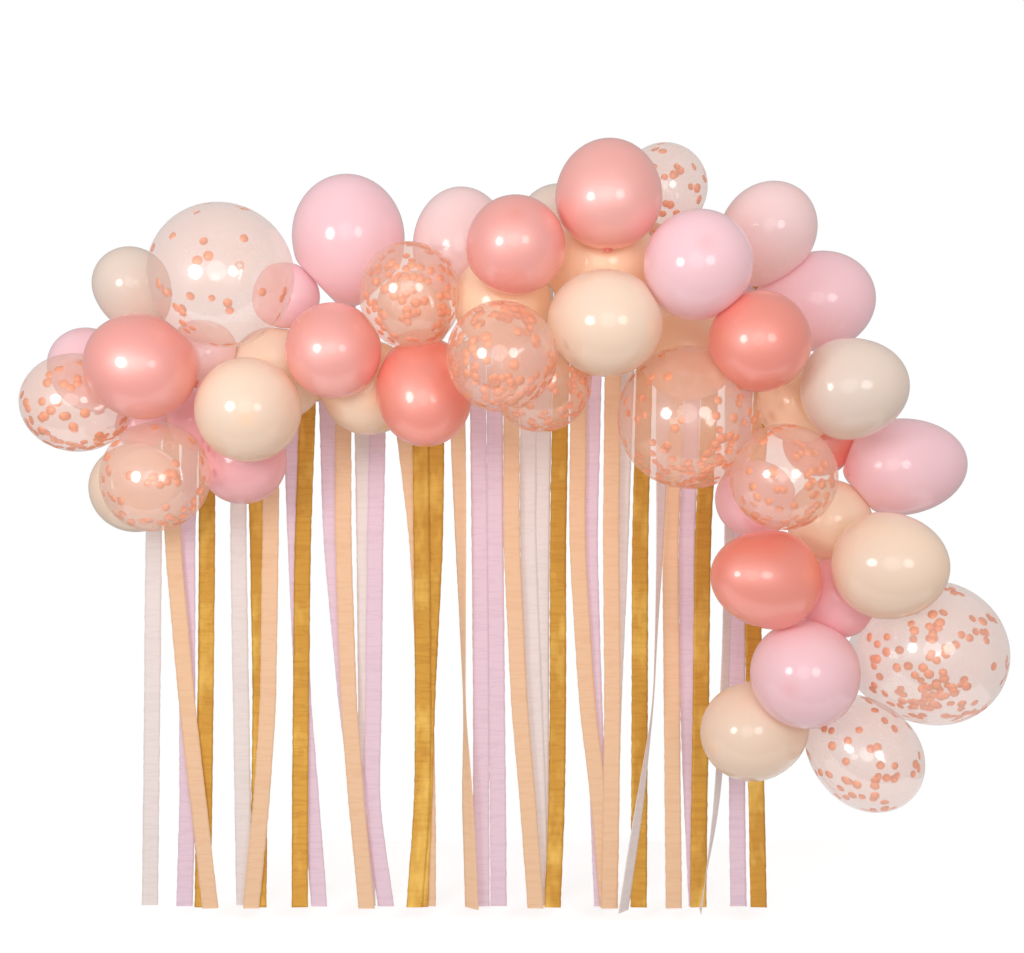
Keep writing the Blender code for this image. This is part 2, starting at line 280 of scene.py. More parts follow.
@dataclass(frozen=True)
class Latex(Finish):
    """Latex, thin and pale where it is blown up, thick and deeper at the neck and the crown's tip.

    Attributes:
        skin: Colour of the blown skin.
        thick: Colour where the latex is thick.
    """

    skin: Colour
    thick: Colour

    def colour(self, nodes: Nodes, mottle: Value) -> Value:
        """Colour by the stretch of the latex.

        Args:
            nodes: The tree.
            mottle: Share of the thick colour in the blown skin.

        Returns:
            The colour.
        """
        stretch = nodes.add("ShaderNodeAttribute", {"attribute_name": SKIN_FIELD}, output="Fac")
        return nodes.mix(stretch, self.thick, nodes.mix(mottle, self.skin, self.thick))


@dataclass(frozen=True)
class OpaqueLatex(Latex):
    """Latex that hides what is behind it, plain or with pearl pigment.

    Attributes:
        glow: Colour of a painted glow, which stands in for light that comes through the skin and
            light that bounces between the balloons.
        painted_glow_strength: Strength of that painted glow.
        pearl: Share of pearl pigment, which reflects as metal does.
        sheen: Refractive index of the pigment's flakes, which give a white lustre.
        roughness: Roughness of the pigment under the gloss.
        gloss: Weight of the clear outer gloss.
    """

    glow: Colour
    painted_glow_strength: float = 0.25
    pearl: float = 0.0
    sheen: float = 1.3
    roughness: float = 0.42
    gloss: float = 0.90

    def material(self) -> bpy.types.Material:
        """Faint clouds mottle the colour and the pigment's roughness, the skin ripples, and it
        glows with a painted glow.

        Returns:
            The material.
        """
        nodes = Nodes.of_material(self.slot)
        place = nodes.place()
        clouds = nodes.noise(place, scale=9.0, detail=3.0)
        ripples = nodes.noise(place, scale=26.0, detail=1.0)
        mottle = clouds.spread(low=0.0, high=0.35)
        return nodes.finish({
            "Base Color": self.colour(nodes, mottle),
            "Metallic": self.pearl,
            "Roughness": clouds.around(self.roughness, swing=0.05),
            "IOR": self.sheen,
            "Coat Weight": self.gloss,
            "Coat Roughness": 0.12,
            # Painted glow in the finish's glow colour, for light through the skin and between the
            # balloons.
            "Emission Color": nodes.opaque(self.glow),
            "Emission Strength": self.painted_glow_strength,
            "Normal": nodes.bump(ripples, distance=0.0006, strength=0.25),
        })


@dataclass(frozen=True)
class ClearLatex(Latex):
    """Clear latex, slightly milky, that shows what is sealed in it.

    Attributes:
        glow: Colour of a painted glow, which stands in for light that the discs throw through the
            skin.
        opacity: How much one wall of the skin hides.
    """

    glow: Colour = (1.0, 0.60, 0.45)
    opacity: float = 0.44

    def material(self) -> bpy.types.Material:
        """Milky colour with faint streaks, a plain opacity, a sharp gloss, and a faint painted
        glow.

        Returns:
            The material.
        """
        nodes = Nodes.of_material(self.slot)
        streaks = nodes.noise(nodes.place(), scale=14.0, detail=4.0, rough=0.6)
        milk = streaks.spread(low=0.0, high=0.6)
        return nodes.finish({
            "Base Color": self.colour(nodes, milk),
            "Roughness": streaks.around(0.41, swing=0.05),
            "IOR": 2.1,
            "Coat Weight": 1.0,
            "Coat IOR": 2.4,
            "Coat Roughness": 0.10,
            "Alpha": self.opacity,
            # Painted glow, faint, in the glow colour.
            "Emission Color": nodes.opaque(self.glow),
            "Emission Strength": 0.10,
        })


@dataclass(frozen=True)
class CrepePaper(Finish):
    """Crepe paper: fine ridges across the strip, broken and uneven, with fibres and creases.

    Attributes:
        paper: Colour of the ridges.
        painted_valley_shade: Colour between the ridges: painted shade, which also darkens the
            creases, the broad folds and, on gold, some lengths.
        metal: Share of metal in the surface.
        roughness: Roughness of the paper.
        ridge: Distance of two ridges, in metres.
        crease: Reach of a crease to each side, as a share of the noise that places it.
        painted_glow_strength: Strength of a painted glow in the paper's own colour, which stands in
            for light that comes through the paper and lightens its shade.
        glint: Colour of the lengths that catch the light, where the paper shines.
    """

    paper: Colour
    painted_valley_shade: Colour
    metal: float = 0.0
    roughness: float = 0.85
    ridge: float = 0.0016
    crease: float = 1 / 30
    painted_glow_strength: float = 0.22
    glint: Colour | None = None

    def _glinting(self, nodes: Nodes, shade: Value) -> Value:
        """Add lengths of painted shade, and shorter ones of painted highlight where the paper
        catches the light.

        Each is a noise along the tail, drawn out downwards, with its contrast raised.

        Args:
            nodes: The tree.
            shade: The paper's colour, with its painted shade.

        Returns:
            The colour with lengths of painted shade and painted highlight.
        """
        place = nodes.scaled(nodes.place(), (1.0, 1.0, 0.45))
        painted_shade_lengths = nodes.noise(place, scale=5.0).contrast(gain=3.4, level=1.35)
        painted_glint_lengths = nodes.noise(place, scale=12.0, detail=3.0, rough=0.65)
        painted_glint_lengths = painted_glint_lengths.contrast(gain=3.6, level=1.75)
        # Painted shade along some lengths, then painted highlight along shorter ones.
        shade = nodes.mix(painted_shade_lengths.spread(low=0.0, high=0.60), shade, self.painted_valley_shade)
        return nodes.mix(painted_glint_lengths.spread(low=0.0, high=0.70), shade, self.glint)

    def material(self) -> bpy.types.Material:
        """The height is three fifths ridge and two fifths fibre, less the creases.

        Ridges are waves along the paper, shifted by noise. Creases run along it where a drawn-out
        noise is near its middle, and fall by a parabola that is deepest on the line itself. The
        colour goes from the painted shade of the valleys and creases to the ridges' with the
        height, and darkens with more painted shade in broad folds.

        Returns:
            The material.
        """
        nodes = Nodes.of_material(self.slot)
        paper = nodes.add("ShaderNodeUVMap", {"uv_map": PAPER_MAP})
        wide = nodes.scaled(paper, (0.35, 1.0, 1.0))
        ridges = nodes.add(
            "ShaderNodeTexWave", {"wave_type": "BANDS", "bands_direction": "Y"},
            {"Vector": wide, "Scale": WAVE_LENGTH / self.ridge, "Distortion": 3.5,
             "Detail": 2.0, "Detail Scale": 1.4, "Detail Roughness": 0.6}, "Fac",
        )
        fibres = nodes.noise(wide, scale=900.0, detail=3.0, rough=0.65)
        folds = nodes.noise(wide, scale=60.0)
        off_line = nodes.noise(nodes.scaled(paper, (0.10, 1.0, 1.0)), scale=42.0) - 0.5
        creases = (off_line * off_line * self.crease ** -2).spread(low=0.30, high=0.0)
        height = ridges * 0.6 + fibres * 0.4 - creases
        # Painted shade: the valleys and creases take the darker colour.
        tone = nodes.mix(height.spread(low=0.0, high=1.0), self.painted_valley_shade, self.paper)
        # Painted shade in broad folds.
        shade = nodes.mix(folds.spread(low=0.0, high=0.30), tone, self.painted_valley_shade)
        return nodes.finish({
            "Base Color": self._glinting(nodes, shade) if self.glint else shade,
            "Metallic": self.metal,
            "Roughness": fibres.around(self.roughness, swing=0.08),
            "Specular IOR Level": 0.25,
            # Painted glow in the paper's own colour.
            "Emission Color": nodes.opaque(self.paper),
            "Emission Strength": self.painted_glow_strength,
            "Normal": nodes.bump(height, distance=0.0005, strength=0.9),
        })


@dataclass(frozen=True)
class MetallicTissue(Finish):
    """Tissue of the confetti, with a metallic face.

    Attributes:
        disc: Colour of the discs.
        shade: Colour of the darker ones.
    """

    disc: Colour
    shade: Colour

    def material(self) -> bpy.types.Material:
        """Each disc differs a little from the next, by noise that is coarse beside a disc, and
        glows faintly with a painted glow.

        Returns:
            The material.
        """
        nodes = Nodes.of_material(self.slot)
        place = nodes.place()
        which = nodes.noise(place, scale=38.0, detail=1.0)
        crinkle = nodes.noise(place, scale=420.0)
        tone = which.spread(low=-0.3, high=1.3)
        return nodes.finish({
            "Base Color": nodes.mix(tone, self.disc, self.shade),
            "Metallic": 0.35,
            "Roughness": crinkle.around(0.42, swing=0.10),
            # Painted glow in the disc colour.
            "Emission Color": nodes.opaque(self.disc),
            "Emission Strength": 0.20,
            "Normal": nodes.bump(crinkle, distance=0.0003, strength=0.5),
        })


@dataclass(frozen=True)
class ClearPlastic(Finish):
    """Clear plastic tape, a little scuffed.

    Attributes:
        tint: Colour of the plastic.
        scuffed: Colour where it is scuffed.
        opacity: How much one face hides.
    """

    tint: Colour
    scuffed: Colour
    opacity: float = 0.30

    def material(self) -> bpy.types.Material:
        """A glossy tint; fine scuffs dull it and make it rougher.

        Returns:
            The material.
        """
        nodes = Nodes.of_material(self.slot)
        scuffs = nodes.noise(nodes.place(), scale=160.0, detail=3.0)
        worn = scuffs.spread(low=0.0, high=0.4)
        return nodes.finish({
            "Base Color": nodes.mix(worn, self.tint, self.scuffed),
            "Roughness": scuffs.spread(low=0.06, high=0.28),
            "Alpha": self.opacity,
        })


@dataclass(frozen=True)
class FloorPaint(Finish):
    """Plain pale floor paint.

    Attributes:
        colour: Colour of the floor.
        glow: Colour of its own light, which keeps it as pale as its surroundings.
    """

    colour: Colour = (0.93, 0.93, 0.93)
    glow: Colour = WHITE

    def material(self) -> bpy.types.Material:
        """A plain matt white.

        Returns:
            The material.
        """
        return Nodes.of_material(self.slot).finish({
            "Base Color": Nodes.opaque(self.colour),
            "Roughness": 0.9,
            "Specular IOR Level": 0.1,
            "Emission Color": Nodes.opaque(self.glow),
            "Emission Strength": 0.34,
        })


class BalloonLatex(Enum):
    """The finishes that a balloon can have."""

    # Each glow below is the colour of a painted glow.
    ROSE = OpaqueLatex(
        "rose_pearl_latex", skin=(0.80, 0.38, 0.345), thick=(0.76, 0.20, 0.16),
        glow=(0.74, 0.25, 0.19), painted_glow_strength=0.18, pearl=0.20, sheen=2.6, roughness=0.50,
    )
    CORAL = OpaqueLatex(
        "coral_pearl_latex", skin=(0.78, 0.23, 0.17), thick=(0.76, 0.14, 0.09),
        glow=(0.72, 0.16, 0.10), painted_glow_strength=0.18, pearl=0.20, sheen=2.6, roughness=0.50,
    )
    PINK = OpaqueLatex(
        "pink_latex", skin=(0.69, 0.49, 0.53), thick=(0.70, 0.34, 0.35),
        glow=(0.78, 0.36, 0.38),
    )
    BLUSH = OpaqueLatex(
        "blush_latex", skin=(0.66, 0.51, 0.52), thick=(0.80, 0.46, 0.42),
        glow=(0.76, 0.42, 0.37),
    )
    PEACH = OpaqueLatex(
        "peach_latex", skin=(0.63, 0.52, 0.445), thick=(0.80, 0.50, 0.31),
        glow=(0.80, 0.48, 0.27),
    )
    IVORY = OpaqueLatex(
        "ivory_latex", skin=(0.55, 0.48, 0.44), thick=(0.72, 0.54, 0.40),
        glow=(0.72, 0.46, 0.32),
    )
    CONFETTI = ClearLatex(
        "clear_latex", skin=(0.70, 0.51, 0.45), thick=(0.72, 0.35, 0.21),
    )


class StreamerPaper(Enum):
    """The papers that a streamer can be cut from."""

    GOLD = CrepePaper(
        "gold_crepe_paper", paper=(0.78, 0.44, 0.080), painted_valley_shade=(0.46, 0.20, 0.03),
        metal=0.55, roughness=0.42, painted_glow_strength=0.14, glint=(0.95, 0.66, 0.17),
    )
    PEACH = CrepePaper("peach_crepe_paper", paper=(0.82, 0.56, 0.37), painted_valley_shade=(0.70, 0.41, 0.24))
    LILAC = CrepePaper("lilac_crepe_paper", paper=(0.80, 0.60, 0.67), painted_valley_shade=(0.62, 0.44, 0.52))
    IVORY = CrepePaper("ivory_crepe_paper", paper=(0.80, 0.70, 0.67), painted_valley_shade=(0.66, 0.56, 0.53))


CONFETTI_FINISH = MetallicTissue(
    "rose_gold_confetti", disc=(0.88, 0.33, 0.14), shade=(0.82, 0.25, 0.10)
)
STRIP_FINISH = ClearPlastic(
    "clear_plastic", tint=(0.88, 0.90, 0.92), scuffed=(0.70, 0.72, 0.74)
)


# Meshes


@dataclass
class Surface:
    """Points and faces of one mesh, with what its material reads.

    Attributes:
        points: The points, one row each.
        quads: The four-sided faces, as rows of point numbers.
        triangles: The three-sided faces.
        stretch: The stretch of the skin at each point, where it is latex.
        flat: Place of each point on the flat paper, where it is paper.
    """

    points: np.ndarray
    quads: np.ndarray
    triangles: np.ndarray = field(default_factory=lambda: np.zeros((0, 3), dtype=int))
    stretch: np.ndarray | None = None
    flat: np.ndarray | None = None

    def volume(self) -> float:
        """Signed volume: the sum over all triangles of the corners' triple product, by six.

        Returns:
            The volume, which is below 0 where the surface is inside out.
        """
        halves = np.concatenate([self.quads[:, [0, 1, 2]], self.quads[:, [0, 2, 3]]])
        a, b, c = np.moveaxis(self.points[np.concatenate([halves, self.triangles])], 1, 0)
        return float(np.einsum("ij,ij->", a, np.cross(b, c)) / 6)

    def outwards(self) -> Surface:
        """Turn every face round where the surface is inside out.

        Returns:
            The surface itself.
        """
        if self.volume() < 0:
            self.quads = self.quads[:, ::-1]
            self.triangles = self.triangles[:, ::-1]
        return self

    @staticmethod
    def together(parts: Sequence[Surface]) -> Surface:
        """Several closed surfaces as one mesh.

        Args:
            parts: The surfaces, all with the same kinds of data.

        Returns:
            One surface that holds them all.
        """
        starts = np.cumsum([0] + [len(part.points) for part in parts[:-1]])
        flats = [part.flat for part in parts if part.flat is not None]
        return Surface(
            np.concatenate([part.points for part in parts]),
            np.concatenate([part.quads + start for part, start in zip(parts, starts)]),
            np.concatenate([part.triangles + start for part, start in zip(parts, starts)]),
            flat=np.concatenate(flats) if flats else None,
        )

    def add_to_scene(self, name: str, finish: bpy.types.Material) -> bpy.types.Object:
        """Make the object, smooth shaded, at the origin.

        Args:
            name: Name of the piece.
            finish: Its material.

        Returns:
            The object.
        """
        mesh = bpy.data.meshes.new(name)
        mesh.from_pydata(self.points.tolist(), [], self.quads.tolist() + self.triangles.tolist())
        mesh.shade_smooth()
        if self.stretch is not None:
            layer = mesh.attributes.new(SKIN_FIELD, "FLOAT", "POINT")
            layer.data.foreach_set("value", self.stretch.astype(np.float32).ravel())
        if self.flat is not None:
            corners = np.zeros(len(mesh.loops), dtype=np.int32)
            mesh.loops.foreach_get("vertex_index", corners)
            layer = mesh.uv_layers.new(name=PAPER_MAP)
            layer.data.foreach_set("uv", self.flat[corners].astype(np.float32).ravel())
        mesh.materials.append(finish)
        mesh.update()
        made = bpy.data.objects.new(name, mesh)
        bpy.context.scene.collection.objects.link(made)
        return made


def tube_quads(rings: int, sides: int) -> np.ndarray:
    """Quads of a tube of rings that follow one another.

    Args:
        rings: Number of rings.
        sides: Points in each ring.

    Returns:
        The quads, each between two rings and two neighbouring sides.
    """
    ring, side = np.meshgrid(np.arange(rings - 1), np.arange(sides), indexing="ij")
    here, beside = ring * sides + side, ring * sides + (side + 1) % sides
    return np.stack([here, beside, beside + sides, here + sides], axis=-1).reshape(-1, 4)


def fan(pole: int, first: int, sides: int) -> np.ndarray:
    """Triangles between a pole and a ring.

    Args:
        pole: Number of the pole's point.
        first: Number of the ring's first point.
        sides: Points in the ring.

    Returns:
        The triangles.
    """
    side = np.arange(sides)
    return np.stack([np.full(sides, pole), first + side, first + (side + 1) % sides], axis=-1)


def smooth_through(points: Sequence[Sequence[float]], steps: int) -> np.ndarray:
    """A Catmull-Rom curve: each span blends its two points and their outer neighbours by cubics.

    Args:
        points: The points that it passes. An end point is its own outer neighbour.
        steps: Straight lengths in each span.

    Returns:
        The curve's points, in rows.
    """
    rows = np.asarray(points, dtype=float)
    rows = np.concatenate([rows[:1], rows, rows[-1:]])
    b, s, e, a = rows[:-3, None], rows[1:-2, None], rows[2:-1, None], rows[3:, None]
    t = (np.arange(steps) / steps)[None, :, None]
    spans = 0.5 * (2 * s + (e - b) * t + (2 * b - 5 * s + 4 * e - a) * t**2
                   + (3 * s - 3 * e + a - b) * t**3)
    return np.concatenate([spans.reshape(-1, rows.shape[1]), rows[-1:]])


def unit(rows: np.ndarray) -> np.ndarray:
    """Each row divided by its own length."""
    return rows / np.linalg.norm(rows, axis=-1, keepdims=True)


def distances(points: np.ndarray) -> np.ndarray:
    """Distance of each point along the line through them: the running sum of its steps."""
    steps = np.linalg.norm(np.diff(points, axis=0), axis=1)
    return np.concatenate([[0.0], np.cumsum(steps)])


def circle(sides: int, turn: float = 0.0) -> np.ndarray:
    """Cosine and sine at even angles.

    Args:
        sides: Number of angles.
        turn: Share of a step by which the first one is past 0.

    Returns:
        One row for each angle.
    """
    angle = (np.arange(sides) + turn) * math.tau / sides
    return np.stack([np.cos(angle), np.sin(angle)], axis=-1)


def numbered(options: list[Enum], kind: str) -> list[str]:
    """Names of CAD nodes: the option's, the kind, and the number among those of that option.

    Args:
        options: The finish of each piece, in order.
        kind: What the pieces are.

    Returns:
        One name for each piece.
    """
    return [
        f"{option.name.lower()}_{kind}_{options[:index].count(option) + 1}"
        for index, option in enumerate(options)
    ]


def dress(piece: bpy.types.Object, slot: str, *nodes: str) -> None:
    """Parent a piece to the body, and hide the CAD nodes that it stands for.

    Args:
        piece: The piece.
        slot: Material slot that its finish belongs to. Not used.
        nodes: CAD nodes that it stands for.
    """
    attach(piece, BODY)
    if nodes:
        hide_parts(*nodes)
    LOG.info("%s: %d faces, stands for %s", piece.name, len(piece.data.polygons), nodes)


# The strip


@dataclass(frozen=True)
class ArchLine:
    """Underside of the decorating strip, from its left end to its lower right end, as (x, z).

    Attributes:
        left_arm: Points from the left end to the level crown.
        right_arm: Points from the crown to the lower end.
        steps: Straight lengths between two points.
        width: Width of the strip, along Y.
        thickness: Thickness of the strip.
    """

    left_arm: tuple[tuple[float, float], ...] = (
        (-1.44, -0.55), (-1.24, -0.49), (-1.04, -0.45), (-0.84, -0.42), (-0.64, -0.38),
        (-0.46, -0.30), (-0.29, -0.16), (-0.16, -0.05), (-0.035, 0.0),
    )
    right_arm: tuple[tuple[float, float], ...] = (
        (0.028, 0.0), (0.17, -0.03), (0.32, -0.12), (0.43, -0.28), (0.49, -0.48),
        (0.52, -0.70), (0.52, -0.92), (0.51, -1.14), (0.48, -1.36),
    )
    steps: int = 2
    width: float = 0.038
    thickness: float = 0.0015

    def line(self) -> np.ndarray:
        """The whole underside as straight lengths.

        Returns:
            Its points (x, z), in rows.
        """
        return np.concatenate([
            smooth_through(self.left_arm, self.steps), smooth_through(self.right_arm, self.steps)
        ])

    def top(self, x: float) -> float:
        """Height of the upper face over x: the underside there plus the thickness, by the slope.

        Args:
            x: Place along the garland.

        Returns:
            The height.
        """
        line = self.line()
        at = int(np.argmax((line[:-1, 0] <= x) & (x <= line[1:, 0])))
        (x0, z0), (x1, z1) = line[at], line[at + 1]
        slope = (z1 - z0) / (x1 - x0)
        return z0 + slope * (x - x0) + self.thickness * math.hypot(1, slope)


@dataclass
class DecoratingStrip:
    """The clear tape with its two sizes of hole, which the knots are pulled through.

    Attributes:
        arch: The line that it follows.
        pitch: Distance of two holes.
        large: Radius of every second hole, for a knot.
        small: Radius of the holes between, for a hook or a tie.
        sides: Points round a hole.
        finish: Its material.
    """

    arch: ArchLine
    pitch: float = 0.024
    large: float = 0.0085
    small: float = 0.0035
    sides: int = 16
    finish: ClearPlastic = STRIP_FINISH

    def _along(self, distance: np.ndarray) -> tuple[np.ndarray, np.ndarray]:
        """Place and upward normal on the line at distances along it.

        Args:
            distance: Distances from the left end, of any shape.

        Returns:
            The points (x, z) and the normals (x, z), with one more axis each.
        """
        line = self.arch.line()
        marks = distances(line)
        ways = unit(np.diff(line, axis=0))
        bends = np.concatenate([ways[:1], unit(ways[:-1] + ways[1:]), ways[-1:]])
        x, z = (np.interp(distance, marks, line[:, i]) for i in (0, 1))
        u, w = (np.interp(distance, marks, bends[:, i]) for i in (0, 1))
        return np.stack([x, z], axis=-1), unit(np.stack([-w, u], axis=-1))

    def _cells(self) -> tuple[np.ndarray, np.ndarray, float]:
        """Hole centres along the tape, their radii, and the length of a cell.

        Returns:
            Distances of the hole centres, hole radii, and the cell length.
        """
        length = float(distances(self.arch.line())[-1])
        count = int(length // self.pitch)
        cell = length / count
        centres = (np.arange(count) + 0.5) * cell
        return centres, np.where(np.arange(count) % 2, self.small, self.large), cell

    def surface(self) -> Surface:
        """Cells of tape, each a ring of quads from its oblong edge in to its round hole.

        A point of the edge lies where the ray at its angle leaves the oblong, and four of them
        are moved to the corners. Neighbouring cells share the points of the cut between them, and
        walls close the holes, the two long edges and the two ends.

        Returns:
            The closed tape.
        """
        centres, radii, cell = self._cells()
        ray = circle(self.sides, turn=0.5)
        half = np.array([cell / 2, self.arch.width / 2])
        edge = ray * np.min(half / np.abs(ray), axis=-1)[:, None]
        corners = np.argsort(np.abs(np.abs(edge) / half - 1).sum(axis=-1))[:4]
        edge[corners] = np.sign(edge[corners]) * half

        hole = ray[None] * radii[:, None, None]
        flat = np.concatenate([hole, np.broadcast_to(edge, hole.shape)], axis=1)
        flat = flat + np.stack([centres, np.zeros_like(centres)], axis=-1)[:, None]
        flat = flat.reshape(-1, 2).round(SAME_PLACE)
        flat, same = np.unique(flat, axis=0, return_inverse=True)
        same = same.reshape(len(centres), 2, self.sides)
        after = np.roll(same, -1, axis=2)
        face = np.stack([same[:, 0], after[:, 0], after[:, 1], same[:, 1]], axis=-1).reshape(-1, 4)
        under = face + len(flat)

        cut = np.isclose(np.abs(edge[:, 0]), half[0]) & np.isclose(
            np.abs(np.roll(edge, -1, axis=0)[:, 0]), half[0])
        outer = np.broadcast_to(~cut, (len(centres), self.sides)).copy()
        outer[0] |= cut & (edge[:, 0] < 0)
        outer[-1] |= cut & (edge[:, 0] > 0)
        rims = [
            np.stack([after[:, 0].ravel(), same[:, 0].ravel()], axis=-1),
            np.stack([same[:, 1][outer], after[:, 1][outer]], axis=-1),
        ]
        walls = [
            np.stack([rim[:, 0], rim[:, 1], rim[:, 1] + len(flat), rim[:, 0] + len(flat)], axis=-1)
            for rim in rims
        ]
        point, normal = self._along(flat[:, 0])
        top = point + normal * self.arch.thickness
        points = [np.stack([p[:, 0], flat[:, 1], p[:, 1]], axis=-1) for p in (top, point)]
        quads = np.concatenate([face, under[:, ::-1], *walls])
        return Surface(np.concatenate(points), quads).outwards()

    def build(self) -> None:
        """Make the tape and dress it."""
        piece = self.surface().add_to_scene("decorating_strip_tape", self.finish.material())
        piece.data.shade_flat()
        dress(piece, self.finish.slot, "decorating_strip")


# Balloons

ROUND, OVAL, LONG = 1.00, 1.10, 1.22  # from the widest ring to the crown, in radii
ASKEW = (0.31, 0.17, 0.94)  # a way that no crown points


@dataclass(frozen=True)
class Balloon:
    """One balloon as it is tied in.

    Attributes:
        latex: Its finish.
        x: Place along the garland.
        z: Height.
        width: Diameter of its widest ring.
        crown: From the widest ring to the crown, in radii.
        way: Where its crown points, or None where the neck is led straight to the strip.
        deep_tone_and_painted_shade: How far its whole skin takes the deeper colour of thick latex;
            on the balloons that lie in shade behind others this is painted shade.
    """

    latex: BalloonLatex
    x: float
    z: float
    width: float
    crown: float = ROUND
    way: Point | None = None
    deep_tone_and_painted_shade: float = 0.0

    @property
    def radius(self) -> float:
        """Radius of the widest ring."""
        return self.width / 2


def designed() -> list[Balloon]:
    """The balloons from the back layer to the front.

    Returns:
        The layout, in metres from the crown of the strip.
    """
    pink, blush = BalloonLatex.PINK, BalloonLatex.BLUSH
    peach, ivory = BalloonLatex.PEACH, BalloonLatex.IVORY
    rose, coral, clear = BalloonLatex.ROSE, BalloonLatex.CORAL, BalloonLatex.CONFETTI
    return [
        # A balloon that lies in shade behind others gets a deeper colour, as painted shade.
        Balloon(peach, -0.603, -0.238, 0.188, deep_tone_and_painted_shade=0.5),
        Balloon(pink, -1.320, -0.545, 0.130),
        Balloon(coral, 0.452, -0.588, 0.182),
        Balloon(peach, -0.952, -0.415, 0.245),
        Balloon(peach, -0.715, -0.450, 0.245, deep_tone_and_painted_shade=0.3),
        Balloon(peach, -1.315, -0.705, 0.235),
        Balloon(pink, -1.160, -0.530, 0.165, deep_tone_and_painted_shade=0.6),
        Balloon(pink, -1.035, -0.640, 0.220, deep_tone_and_painted_shade=1.0),
        Balloon(blush, -1.125, -0.368, 0.172),
        Balloon(pink, -0.925, -0.220, 0.175),
        Balloon(ivory, -1.335, -0.180, 0.195),
        Balloon(pink, -1.450, -0.390, 0.195),
        Balloon(pink, -0.764, -0.066, 0.286, OVAL, (0.0, -0.3, 1.0)),
        Balloon(blush, -0.474, -0.095, 0.249, LONG, (0.0, -0.15, 1.0)),
        Balloon(peach, -0.370, -0.250, 0.240, deep_tone_and_painted_shade=0.6),
        Balloon(ivory, -0.225, -0.030, 0.215),
        Balloon(peach, -0.125, -0.150, 0.275, deep_tone_and_painted_shade=0.6),
        Balloon(clear, 0.047, 0.069, 0.225, ROUND, (0.2, -0.7, 0.7)),
        Balloon(peach, 0.110, -0.355, 0.255, deep_tone_and_painted_shade=0.5),
        Balloon(clear, -0.275, -0.450, 0.245, deep_tone_and_painted_shade=0.7),
        Balloon(pink, 0.444, -0.228, 0.256, OVAL, (1.0, -0.3, 0.1)),
        Balloon(blush, 0.300, -0.061, 0.236, OVAL, (0.4, -0.7, 0.6)),
        Balloon(peach, 0.375, -0.492, 0.205, deep_tone_and_painted_shade=0.4),
        Balloon(pink, 0.284, -0.738, 0.202, deep_tone_and_painted_shade=0.6),
        Balloon(peach, 0.470, -0.794, 0.215, ROUND, (0.1, -0.3, 1.0), deep_tone_and_painted_shade=0.15),
        Balloon(pink, 0.480, -0.985, 0.205, deep_tone_and_painted_shade=1.0),
        Balloon(clear, 0.703, -1.117, 0.357),
        Balloon(peach, 0.273, -1.335, 0.250, OVAL, (-0.8, -0.5, -0.2)),
        Balloon(pink, 0.634, -0.655, 0.247, 1.45, (1.0, 0.15, 0.08)),
        Balloon(clear, -1.049, -0.193, 0.348, ROUND, (0.0, -1.0, -0.3)),
        Balloon(clear, -1.425, -0.495, 0.245, OVAL, (-1.0, -0.6, 0.0), deep_tone_and_painted_shade=0.5),
        Balloon(ivory, 0.449, -0.471, 0.243, LONG, (0.9, -0.5, 0.1)),
        Balloon(clear, 0.566, -1.396, 0.268, OVAL, (0.6, -0.4, -0.6)),
        Balloon(clear, -1.216, -0.678, 0.262, OVAL, (0.0, -0.8, -0.5), deep_tone_and_painted_shade=0.35),
        Balloon(rose, -1.233, -0.415, 0.254, OVAL, (-0.9, -0.35, 0.3), deep_tone_and_painted_shade=0.45),
        Balloon(coral, -0.562, -0.468, 0.239, LONG, (0.1, -0.5, -0.8)),
        Balloon(clear, 0.085, -0.535, 0.350, ROUND, (0.0, -1.0, -0.2), deep_tone_and_painted_shade=0.75),
        Balloon(rose, -0.782, -0.372, 0.236, ROUND, (-0.1, -1.0, 0.1), deep_tone_and_painted_shade=0.3),
        Balloon(clear, -0.369, -0.405, 0.255, ROUND, (0.0, -1.0, -0.1), deep_tone_and_painted_shade=0.5),
        Balloon(clear, -0.592, -0.241, 0.246, OVAL, (0.0, -0.8, 0.6), deep_tone_and_painted_shade=0.4),
        Balloon(rose, -0.337, -0.145, 0.234, OVAL, (0.0, -0.9, 0.4), deep_tone_and_painted_shade=0.25),
        Balloon(rose, -0.120, -0.030, 0.250, OVAL, (0.0, -0.15, 1.0)),
        Balloon(coral, 0.230, -0.365, 0.235, ROUND, (0.1, -1.0, 0.0)),
        Balloon(peach, -0.128, -0.320, 0.252, OVAL, (0.9, -0.8, -0.2)),
        Balloon(pink, 0.083, -0.190, 0.250, ROUND, (0.0, -1.0, 0.2)),
        Balloon(clear, 0.290, -0.680, 0.250, ROUND, (-0.1, -1.0, 0.0), deep_tone_and_painted_shade=0.6),
        Balloon(coral, 0.301, -0.934, 0.244, 1.43, (-0.9, -0.5, 0.15)),
        Balloon(peach, 0.549, -0.893, 0.258, LONG, (0.7, -0.7, 0.0)),
        Balloon(pink, 0.380, -1.170, 0.265),
        Balloon(peach, -0.989, -0.516, 0.257),
    ]


